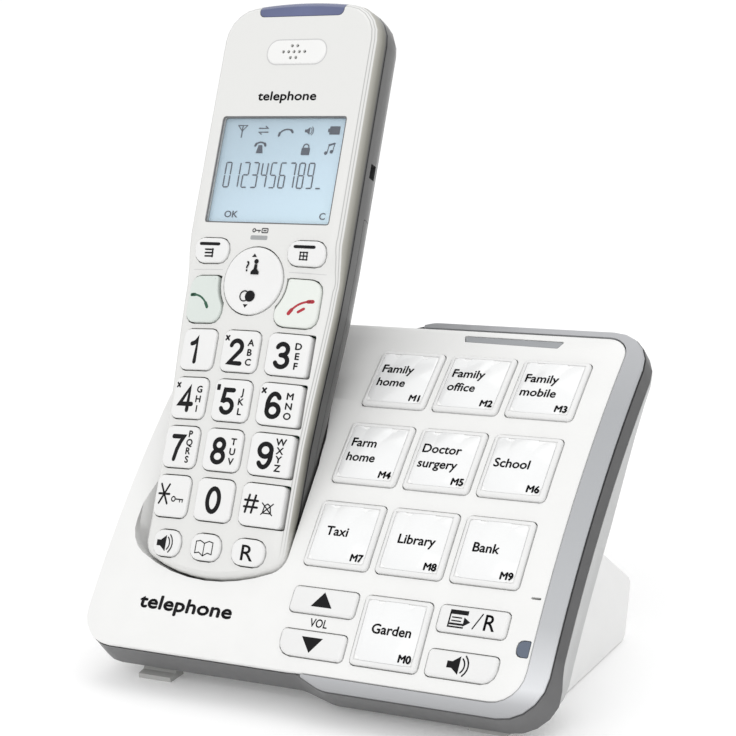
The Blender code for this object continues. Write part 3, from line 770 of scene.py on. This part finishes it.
def lock_icon():
    return merged(
        polygon(box_outline(-1.2, 1.2, -1.5, 0.4, 0.2, 2)), stroke(arc(0, 0.5, 0.8, 0, 180, 10), 0.32)
    )


def note_icon():
    heads = [polygon(circle(x, y, 0.5, 12)) for x, y in ((-1.1, -1.2), (0.6, -0.8))]
    stems = [
        stroke([(-0.7, -1.2), (-0.4, 1.1)], 0.24),
        stroke([(1.0, -0.8), (1.3, 1.5)], 0.24),
        stroke([(-0.4, 1.05), (1.3, 1.5)], 0.5),
    ]
    return merged(*heads, *stems)


def triangle(size, turn=0):
    return moved(polygon([(-size, -size * 0.55), (size, -size * 0.55), (0, size * 0.75)]), turn=turn)


def card_icon():
    """A directory card with an arrow, as on the recall key."""
    head = polygon([(-2.4, 1.0), (1.6, 1.0), (1.6, 1.9), (-2.4, 1.9)])
    sides = stroke([(-2.25, 1.2), (-2.25, -1.6), (1.0, -1.6)], 0.32)
    lines = [stroke([(-1.7, y), (0.3, y)], 0.26) for y in (0.35, -0.35)]
    under = stroke([(-1.9, -1.0), (0.9, -1.0)], 0.42)
    arrow = polygon([(0.9, 0.55), (2.4, -0.35), (0.9, -1.35)])
    return merged(head, sides, *lines, under, arrow)


# Keys


KEY_PROFILE = [(0.0, -3.2), (0.0, 0.2), (0.1, 0.45), (0.3, 0.68), (0.62, 0.83), (1.0, 0.9)]
COVER_PROFILE = [(0.0, 0.5), (0.0, 0.86), (0.12, 0.95)]
M_MARKS = {
    "1": ("Family", "home"),
    "2": ("Family", "office"),
    "3": ("Family", "mobile"),
    "4": ("Farm", "home"),
    "5": ("Doctor", "surgery"),
    "6": ("School",),
    "7": ("Taxi",),
    "8": ("Library",),
    "9": ("Bank",),
    "0": ("Garden",),
}


def key_outline(wide, tall, radii):
    places = ((-wide / 2, -tall / 2), (wide / 2, -tall / 2), (wide / 2, tall / 2), (-wide / 2, tall / 2))
    return rounded([(x, y, r) for (x, y), r in zip(places, radii)], 6)


def cover_outline(wide, tall):
    """A clear label cover: its lower corners are cut off and its upper edge has two finger notches."""
    left, right, low, high = -wide / 2, wide / 2, -tall / 2, tall / 2
    outline = [
        (left, low + 1.7), (left + 1.7, low), (right - 2.2, low), (right, low + 2.2), (right, high - 0.9)
    ]
    outline += [
        (right - 0.5, high - 0.45),
        (right - 3.0, high - 0.45),
        (right - 3.5, high - 1.0),
        (right - 4.1, high - 1.25),
    ]
    outline += [(right - 4.7, high - 0.9), (right - 5.0, high)]
    outline += [
        (left + 4.9, high),
        (left + 4.5, high - 0.7),
        (left + 3.8, high - 0.95),
        (left + 3.1, high - 0.7),
        (left + 2.7, high),
    ]
    outline += [(left + 0.8, high), (left, high - 0.6)]
    return outline


def memory_key(number, place):
    name = f"memory_key_{number}"
    outline = key_outline(KEY_WIDE, KEY_TALL, (1.2, 1.2, 1.2, 1.2))
    recess = [*KEY_PROFILE, (1.12, 0.88), (1.2, 0.6)]
    mesh_piece(f"{name}_cap", stacked(outline, recess), place, key_white, name, [name])
    wide, tall = KEY_WIDE - 3.0, KEY_TALL - 2.8
    card = stacked(box_outline(-wide / 2, wide / 2, -tall / 2, tall / 2, 0.5, 3), [(0, 0.5), (0, 0.8)])
    mesh_piece(f"{name}_label", card, place, label_paper, name)
    mesh_piece(
        f"{name}_cover",
        stacked(cover_outline(KEY_WIDE - 2.7, KEY_TALL - 2.4), COVER_PROFILE),
        place,
        cover_clear,
        name,
    )
    lines = M_MARKS[number]
    start = -7.4 if number in "123456" else -5.6
    heights = (2.6, -1.8) if len(lines) == 2 else (0.3,)
    words = [
        heavier(lettering(line, 2.6, start, y, wide=1.06, align="left"), 0.085) for line,
        y in zip(lines, heights)
    ]
    mark = heavier(lettering(f"M{number}", 2.0, 6.0, -6.1, wide=1.05), 0.13)
    print_on(
        f"{name}_name",
        [moved(w, 0.4, 0.35) for w in words],
        place,
        ink_label,
        name,
        lift=0.99,
        depth=0.06,
        step=0,
    )
    print_on(f"{name}_mark", [mark], place, ink_black, name, lift=0.99, depth=0.06, step=0)


def base_keys():
    places = {}
    for row, numbers in enumerate(("789", "456", "123")):
        for column, number in enumerate(numbers):
            places[number] = (KEY_U + column * KEY_PITCH_U, row * KEY_PITCH_V)
    places["0"] = (KEY_U + KEY_PITCH_U, LOW_KEY_V)
    for number, (left, low) in places.items():
        memory_key(number, on_base_key(left, low))
    right = KEY_U + 2 * KEY_PITCH_U
    upper, lower = -12.8, LOW_KEY_V
    slash_r = [
        stroke([(0.6, -2.0), (2.6, 2.0)], 0.34), heavier(lettering("R", 4.3, 5.0, 0.1, wide=0.95), 0.05)
    ]
    for name, left, low, radii, marks in (
        ("volume_up_key", KEY_U, upper, (1.2, 1.2, 1.2, 1.2), [triangle(3.1)]),
        ("volume_down_key", KEY_U, lower, (3.6, 1.2, 1.2, 1.2), [triangle(3.1, 180)]),
        (
            "recall_key",
            right,
            upper,
            (1.2, 1.2, 1.2, 1.2),
            [moved(card_icon(), -3.3, -0.1, scale=1.25), *slash_r],
        ),
        (
            "base_speaker_key",
            right,
            lower,
            (1.2, 3.6, 1.2, 1.2),
            [moved(speaker_icon(), -0.6, 0, scale=1.55)],
        ),
    ):
        place = on_base_key(left, low, tall=SMALL_KEY_TALL)
        outline = key_outline(KEY_WIDE, SMALL_KEY_TALL, radii)
        mesh_piece(f"{name}_cap", stacked(outline, KEY_PROFILE), place, key_white, name, [name])
        print_on(f"{name}_mark", marks, place, ink_black, name, lift=0.93, step=0)


HAND_KEY_PROFILE = [
    (0.0, -3.3), (0.0, 0.3), (0.05, 0.5), (0.16, 0.66), (0.34, 0.78), (0.6, 0.84), (0.95, KEY_TOP)
]
LETTERS = {"2": "ABC", "3": "DEF", "4": "GHI", "5": "JKL", "6": "MNO", "7": "PQRS", "8": "TUV", "9": "WXYZ"}


def nav_notched(left, right, low, high, radius):
    """The outline of the call or end key, with its corner scooped out round the navigation key."""
    clear = NAV_RADIUS + 1.95
    dense = resample(box_outline(left, right, low, high, radius, 6), 180)
    kept = []
    for point in dense:
        away = point - NAV
        kept.append(NAV + away.normalized() * clear if away.length < clear else point)
    return [tuple(p) for p in soften(resample(kept, 72), 2)]


def bend_round(x, y, wide, tall, start, end, steps=14):
    """Part of an ellipse, as a line."""
    turns = [math.radians(start + (end - start) * k / steps) for k in range(steps + 1)]
    return [(x + wide * math.cos(a), y + tall * math.sin(a)) for a in turns]


FIGURE_WIDE = 1.2
# Lines of each figure, one high and about half as wide, with its lower edge at 0
FIGURES = {
    "0": [(bend_round(0, 0.5, 0.215, 0.44, 0, 345, 23), True)],
    "1": [([(0.06, 0.05), (0.06, 0.93), (0.03, 0.86), (-0.06, 0.79), (-0.16, 0.76)], False)],
    "2": [([*bend_round(0, 0.7, 0.205, 0.24, 168, -38), (-0.2, 0.075), (0.22, 0.06)], False)],
    "3": [
        ([*bend_round(-0.01, 0.725, 0.185, 0.215, 158, -68), (-0.04, 0.51)], False),
        ([(-0.05, 0.51), *bend_round(0, 0.285, 0.21, 0.225, 72, -160)], False),
    ],
    "4": [([(0.11, 0.06), (0.11, 0.92), (-0.24, 0.3), (0.27, 0.3)], False)],
    "5": [
        ([(0.19, 0.935), (-0.13, 0.935), (-0.175, 0.52), *bend_round(0, 0.31, 0.21, 0.25, 128, -158)], False)
    ],
    "6": [
        (bend_round(0, 0.3, 0.205, 0.24, 0, 345, 20), True),
        ([*bend_round(0.01, 0.5, 0.215, 0.44, 42, 190, 12), (-0.2, 0.32)], False),
    ],
    "7": [([(-0.22, 0.935), (0.21, 0.935), (0.1, 0.72), (0.0, 0.44), (-0.07, 0.05)], False)],
    "8": [
        (bend_round(0, 0.73, 0.18, 0.21, 0, 345, 20), True),
        (bend_round(0, 0.285, 0.21, 0.225, 0, 345, 20), True),
    ],
    "9": [
        (bend_round(0, 0.7, 0.205, 0.24, 0, 345, 20), True),
        ([*bend_round(-0.01, 0.5, 0.215, 0.44, 222, 370, 12), (0.2, 0.68)], False),
    ],
}


def figure(number, tall, x, v, thick):
    """A plain figure of even thickness, about its middle (x, v)."""
    lines = []
    for line, closed in FIGURES[number]:
        lines.append(stroke([(a * FIGURE_WIDE, b) for a, b in line], thick / tall, closed))
    return moved(merged(*lines), x, v - tall / 2, scale=tall)


def digit_marks(number, x, v):
    """A key's figure with its letters beside it, about the key's middle (x, v)."""
    if number == "star":
        star = [
            stroke([(-1.5, 2.6 * s), (1.5, -2.6 * s)], 0.6) for s in (-1, 1)
        ] + [stroke([(-1.9, 0.0), (1.9, 0.0)], 0.6)]
        key = [
            ring(1.2, 0, 0.55, 0.3, 14),
            stroke([(1.8, 0), (4.1, 0)], 0.3),
            stroke([(3.2, 0), (3.2, -0.6)], 0.28),
            stroke([(4.0, 0), (4.0, -0.6)], 0.28),
        ]
        return [
            *(moved(s, x - 2.6, v + 0.4) for s in star),
            *(moved(s, x - 0.4, v - 0.8, scale=1.15) for s in key),
        ]
    if number == "hash":
        bell = [stroke([(-0.9, -0.8), (-0.6, 0.7), (0, 1.1), (0.6, 0.7), (0.9, -0.8), (-0.9, -0.8)], 0.24)]
        cross = [stroke([(-1.2, -1.1), (1.2, 1.2)], 0.24), stroke([(-1.2, 1.2), (1.2, -1.1)], 0.24)]
        hash_sign = [stroke([(a, -2.3), (a + 0.7, 2.3)], 0.6) for a in (-1.3, 0.5)]
        hash_sign += [stroke([(-1.8, b), (2.0, b)], 0.6) for b in (-0.85, 0.9)]
        return [
            *(moved(s, x - 2.6, v + 0.1) for s in hash_sign),
            *(moved(s, x + 2.3, v - 0.9, scale=1.3) for s in bell + cross),
        ]
    if number == "0":
        return [figure("0", 7.0, x + 0.1, v - 0.1, 1.25)]
    shapes = [figure(number, 7.0, x - 0.95, v - 0.35, 1.25)]
    letters = LETTERS.get(number, "")
    many = len(letters) == 4
    for k, letter in enumerate(letters):
        high = v + (3.6 if many else 2.45) - k * (2.3 if many else 2.65)
        shapes.append(heavier(lettering(letter, 1.85, x + (3.1 if many else 3.4), high, wide=1.1), 0.08))
    if number in "246":
        shapes += [
            moved(stroke([(-0.5, 0.55 * s), (0.5, -0.55 * s)], 0.5), x - 4.3, v + 3.4) for s in (-1, 1)
        ]
    if number == "5":
        shapes.append(polygon(box_outline(x - 4.9, x - 3.8, v + 2.5, v + 4.1, 0.2, 2)))
    return shapes


def bow(start, end, rise, thick):
    """A handset seen from the side: an arched bar, thicker at its ends, from start to end."""
    first, last = Vector(start), Vector(end)
    along = (last - first).normalized()
    up = Vector((-along.y, along.x))
    line = [tuple(first.lerp(last, k / 12) + up * rise * (1 - (k / 6 - 1) ** 2)) for k in range(13)]
    return [stroke(line, thick), stroke(line[:3], thick * 1.7), stroke(line[-3:], thick * 1.7)]


def hand_key(name, outline, look):
    points = [Vector(p) for p in outline]
    mesh_piece(f"{name}_cap", stacked(points, HAND_KEY_PROFILE, 2.0), on_face, look, name, [name])


def key_print(name, shapes, ink, suffix="mark"):
    print_on(f"{name}_{suffix}", shapes, on_face, ink, name, lift=KEY_TOP + 0.03)


def hand_keys():
    for row, numbers in enumerate((("star", "0", "hash"), "789", "456", "123")):
        for column, number in enumerate(numbers):
            left, low = DIGIT_X + column * DIGIT_PITCH_X, row * DIGIT_PITCH_V
            name = f"digit_key_{number}"
            wide, right_radius = (DIGIT_WIDE + LAST_WIDER, 1.05) if column == 2 else (DIGIT_WIDE, 2.0)
            outline = key_outline(wide, DIGIT_TALL, (2.0, right_radius, right_radius, 2.0))
            outline = [(x + left + wide / 2, v + low + DIGIT_TALL / 2) for x, v in outline]
            hand_key(name, outline, key_white)
            key_print(name, digit_marks(number, left + DIGIT_WIDE / 2, low + DIGIT_TALL / 2), ink_black)
    bottom = (
        ("handset_speaker_key", moved(speaker_icon(), -0.2, -0.1, scale=1.45)),
        ("handset_book_key", moved(book_icon(), 0, -0.4, scale=1.15)),
        ("handset_recall_key", heavier(lettering("R", 4.3, 0.2, wide=1.1), 0.05)),
    )
    for k, (name, mark) in enumerate(bottom):
        left = -18.2 + 12.95 * k
        hand_key(name, box_outline(left, left + 9.4, -10.5, -3.5, 3.0, 6), key_white)
        key_print(name, [moved(mark, left + 4.6, -7.0)], ink_black)
    for name, left, right, x, mark in (
        ("soft_key_left", -21.1, -9.9, -16.0, "page"), ("soft_key_right", 9.2, 20.7, 14.4, "grid")
    ):
        hand_key(name, box_outline(left, right, 69.9, 76.6, 3.0, 6), key_white)
        v = 73.4
        dash = stroke([(x - 3.0, v + 1.5), (x + 3.0, v + 1.5)], 0.85)
        if mark == "page":
            small = [
                stroke([(-1.0, y), (1.0, y)], 0.34) for y in (0.7, 0.0, -0.7)
            ] + [stroke([(0.9, 0.8), (0.9, -0.8)], 0.4)]
        else:
            small = [
                stroke([(-0.9, y), (0.9, y)], 0.26) for y in (0.75, 0.0, -0.75)
            ] + [stroke([(i, 0.8), (i, -0.8)], 0.26) for i in (-0.8, 0, 0.8)]
        key_print(name, [dash, *(moved(s, x, v - 0.95, scale=1.3) for s in small)], ink_black)
    hand_key("call_key", nav_notched(-21.5, -9.2, 53.3, 66.3, 3.0), call_green)
    hand_key("end_key", nav_notched(8.0, 20.5, 53.3, 66.3, 3.0), end_red)
    key_print("call_key", bow((-20.3, 60.9), (-13.9, 57.5), 1.15, 0.55), ink_green)
    key_print(
        "end_key",
        [*bow((12.5, 56.8), (18.9, 60.5), 1.0, 0.6), stroke([(15.2, 57.4), (16.7, 58.4)], 0.75)],
        ink_red,
    )
    profile = [
        (0.0, -3.3),
        (0.0, 0.1),
        (0.08, 0.35),
        (0.25, 0.53),
        (0.55, 0.6),
        (1.4, 0.56),
        (3.2, 0.46),
        (5.6, 0.38),
        (8.0, 0.35),
    ]
    disc = stacked(circle(*NAV, NAV_RADIUS, 64), profile, 3.0)
    mesh_piece("navigation_key_cap", disc, on_face, key_white, "navigation_key", ["navigation_key"])
    x, v = NAV.x - 0.5, NAV.y
    marks = [
        moved(triangle(0.75), x, v + 6.9),
        heavier(lettering("?", 2.9, x - 1.7, v + 4.0, wide=0.9), 0.06),
        moved(person_icon(), x + 0.9, v + 3.8, scale=1.1),
        ring(x - 1.1, v - 4.3, 1.4, 0.32),
        polygon(circle(x + 0.7, v - 4.3, 1.55, 24)),
        moved(triangle(0.75, 180), x - 0.3, v - 7.0),
    ]
    print_on("navigation_key_mark", marks, on_face, ink_black, "navigation_key", lift=0.56)


# The handset's other details


SEGMENTS = {
    "a": (0, 2, 1),
    "b": (1, 1, 0),
    "c": (1, 0, 0),
    "d": (0, 0, 1),
    "e": (0, 0, 0),
    "f": (0, 1, 0),
    "g": (0, 1, 1),
}
LIT = {
    "0": "abcdef",
    "1": "bc",
    "2": "abged",
    "3": "abgcd",
    "4": "fgbc",
    "5": "afgcd",
    "6": "afgedc",
    "7": "abc",
    "8": "abcdefg",
    "9": "abcdfg",
    "_": "d",
}


def segment_digit(digit, x, v, wide=1.75, tall=7.0, thick=0.36):
    """One figure of a seven-segment display, with its lower left corner at (x, v)."""
    shapes = []
    for segment in LIT[digit]:
        column, row, flat = SEGMENTS[segment]
        start = Vector((x + column * wide, v + row * tall / 2))
        along = Vector((wide, 0)) if flat else Vector((0, tall / 2))
        gap = along.normalized() * 0.28
        shapes.append(stroke([tuple(start + gap), tuple(start + along - gap)], thick))
    return shapes


def display():
    left, right, low, high = DISPLAY

    def at(a, b):
        return left + (right - left) * a, high - (high - low) * b

    shapes = []
    for k, digit in enumerate("0123456789_"):
        x, v = at(0.075 + 0.0745 * k, 0.655)
        shapes += segment_digit(digit, x, v)
    antenna = merged(
        stroke([(-1.5, 1.5), (1.5, 1.5), (0, -0.1), (-1.5, 1.5)], 0.25), stroke([(0, 1.4), (0, -1.9)], 0.3)
    )
    arrows = [
        stroke([(-1.5, 0.55), (1.4, 0.55), (0.6, 1.1)], 0.36),
        stroke([(1.5, -0.55), (-1.4, -0.55), (-0.6, -1.1)], 0.36),
    ]
    battery = merged(
        polygon(box_outline(-1.4, 1.8, -1.15, 1.15, 0.15, 2)),
        polygon(box_outline(-1.9, -1.3, -0.5, 0.5, 0.1, 2)),
    )
    telephone = merged(
        moved(handset_icon(0.7), 0, 1.4, scale=0.75),
        polygon([(-1.3, -1.8), (1.3, -1.8), (0.7, 0.9), (-0.7, 0.9)]),
    )
    icons = (
        (antenna, 0.155, 0.125, 1.0),
        (merged(*arrows), 0.33, 0.12, 1.0),
        (moved(handset_icon(0.5), turn=12), 0.51, 0.13, 0.85),
        (speaker_icon(), 0.70, 0.125, 0.72),
        (battery, 0.895, 0.12, 1.0),
        (telephone, 0.325, 0.285, 0.85),
        (lock_icon(), 0.695, 0.295, 1.1),
        (note_icon(), 0.885, 0.29, 1.0),
    )
    for shape, a, b, scale in icons:
        shapes.append(moved(shape, *at(a, b), scale=scale))
    shapes.append(lettering("OK", 1.9, *at(0.185, 0.905), wide=1.15, bold=0.012))
    shapes.append(lettering("C", 1.9, *at(0.915, 0.905), wide=1.1, bold=0.012))
    print_on("display_figures", shapes, on_hand, crystal, "handset", lift=-1.3, depth=0.06, step=0)
    frame_line = band(
        box_outline(left + 0.05, right - 0.05, low + 0.05, high - 0.05, 0.8),
        box_outline(left + 0.45, right - 0.45, low + 0.4, high - 0.4, 0.6),
    )
    print_on("display_border", [frame_line], on_hand, ink_grey, "handset", lift=-0.24, depth=0.1, step=0)


def ridge_across(left, right, v):
    """A fine moulded line across the handset's face, drawn as a grey strip: painted shade of the ridge."""
    return stroke([(left + (right - left) * k / 6, v) for k in range(7)], 0.16)


def handset_details():
    key = [
        ring(-1.9, 0, 0.45, 0.25, 12),
        stroke([(-1.4, 0), (0.1, 0)], 0.25),
        stroke([(-0.3, 0), (-0.3, -0.5)], 0.22),
    ]
    cell = [
        band(box_outline(0.5, 2.6, -0.7, 0.7, 0.3, 2), box_outline(0.75, 2.35, -0.45, 0.45, 0.15, 2)),
        stroke([(1.2, 0), (1.9, 0)], 0.3),
    ]
    marks = [moved(heavier(merged(*key, *cell), 0.04), -1.0, 79.2)]
    print_on("charge_symbol", marks, on_face, ink_grey, "handset")
    bar = polygon(box_outline(-3.7, 1.7, 76.6, 77.8, 0.35, 3))
    print_on("charge_bar", [bar], on_face, ink_light, "handset")
    word = heavier(lettering("telephone", 2.6, 0.05, 117.2, span=18.7), 0.1)
    print_on("handset_word", [word], on_face, ink_black, "handset")
    lines = [ridge_across(-21.6, -11.2, 68.1), ridge_across(10.2, 21.8, 68.1)]
    print_on("keypad_ridge", lines, on_face, groove_shade, "handset", lift=0.04)
    pad_profile = [(0.0, -0.15), (0.0, 0.05), (0.12, 0.22), (0.35, 0.33), (0.75, 0.36)]
    pad = stacked(box_outline(-8.7, 10.1, 126.2, 133.0, 3.3, 8), pad_profile, 3.0)
    piece = mesh_piece("earpiece_pad", pad, on_face, white_gloss, "handset")
    # The grey ring round the earpiece pad is painted shade at its edge.
    rim = band(box_outline(-9.0, 10.4, 125.9, 133.3, 3.6, 8), box_outline(-8.7, 10.1, 126.2, 133.0, 3.3, 8))
    print_on("earpiece_rim", [rim], on_face, groove_shade, "handset", lift=0.02, depth=0.05)
    drills = bmesh.new()
    for x, v in EAR_HOLES:
        turned = Matrix.Rotation(HAND_TILT, 4, "X")
        spot = Matrix.Translation(on_hand(x, v, 0) * MM) @ turned
        bmesh.ops.create_cone(
            drills, cap_ends=True, segments=14, radius1=0.5 * MM, radius2=0.5 * MM, depth=2 * MM, matrix=spot
        )
    mesh = bpy.data.meshes.new("drills")
    drills.to_mesh(mesh)
    drills.free()
    cutter = bpy.data.objects.new("drills", mesh)
    bpy.context.scene.collection.objects.link(cutter)
    holes = piece.modifiers.new("holes", "BOOLEAN")
    holes.solver = "EXACT"
    holes.object = cutter
    bpy.context.view_layer.update()
    cut_mesh = bpy.data.meshes.new_from_object(piece.evaluated_get(bpy.context.evaluated_depsgraph_get()))
    piece.modifiers.clear()
    piece.data = cut_mesh
    bpy.data.objects.remove(cutter)


def base_details():
    print_on(
        "volume_word",
        [heavier(lettering("VOL", 2.3, 2.9, -15.0, wide=0.85), 0.04)],
        on_panel,
        ink_black,
        "base",
    )
    word = heavier(lettering("telephone", 3.8, -38.1, -15.2, span=29.2), 0.17)
    print_on("base_word", [word], on_panel, ink_black, "base")


base_keys()
hand_keys()
display()
handset_details()
base_details()


# Camera, floor and lights


CAMERA_PLACE = (0.288587, -0.464825, 0.231140)  # metres
CAMERA_DEGREES = (31.97, 15.764, 5.773)  # azimuth, elevation and roll
LENS_MM = 106.265
FLOOR_RADIUS, FLOOR_GLOW = 6, 0.09


def add_camera():
    made = bpy.data.cameras.new("camera")
    made.lens = LENS_MM
    made.sensor_width = 36
    made.clip_start = 0.01
    camera = bpy.data.objects.new("camera", made)
    azimuth, elevation, roll = (math.radians(a) for a in CAMERA_DEGREES)
    aim = Matrix.Rotation(azimuth, 4, "Z") @ Matrix.Rotation(math.pi / 2 - elevation, 4, "X")
    camera.matrix_world = Matrix.Translation(CAMERA_PLACE) @ aim @ Matrix.Rotation(-roll, 4, "Z")
    bpy.context.scene.collection.objects.link(camera)
    bpy.context.scene.camera = camera


def add_floor():
    shape = bmesh.new()
    bmesh.ops.create_circle(shape, cap_ends=True, segments=96, radius=FLOOR_RADIUS)
    mesh = bpy.data.meshes.new("floor")
    shape.to_mesh(mesh)
    shape.free()
    look, _, shader = new_material("floor_paint")
    shader.inputs["Base Color"].default_value = (0.93, 0.93, 0.93, 1)
    shader.inputs["Roughness"].default_value = 0.7
    shader.inputs["Emission Color"].default_value = (1, 1, 1, 1)
    shader.inputs["Emission Strength"].default_value = FLOOR_GLOW
    mesh.materials.append(look)
    floor = bpy.data.objects.new("floor", mesh)
    bpy.context.scene.collection.objects.link(floor)


def add_light(name, place, target, size, power, colour=(1, 1, 1)):
    made = bpy.data.lights.new(name, "AREA")
    made.shape = "RECTANGLE"
    made.size, made.size_y = size
    made.energy = power
    made.color = colour
    lamp = bpy.data.objects.new(name, made)
    place = Vector(place)
    lamp.location = place
    lamp.rotation_euler = (Vector(target) - place).to_track_quat("-Z", "Y").to_euler()
    bpy.context.scene.collection.objects.link(lamp)


def add_lights():
    world = bpy.data.worlds.new("studio")
    world.use_nodes = True
    back = world.node_tree.nodes["Background"]
    back.inputs["Color"].default_value = (1, 1, 1, 1)
    back.inputs["Strength"].default_value = 1.0
    bpy.context.scene.world = world
    middle = (0, 0, 0.07)
    add_light("key_light", (0.1, -0.9, 0.9), middle, (0.7, 0.7), 1.1)
    add_light("fill_light", (0.8, -0.6, 0.6), middle, (0.8, 0.8), 0.25)
    add_light("top_light", (0.1, 0.25, 1.1), middle, (0.9, 0.6), 1.2)
    scene = bpy.context.scene
    scene.view_settings.view_transform = "Standard"


add_camera()
add_floor()
add_lights()
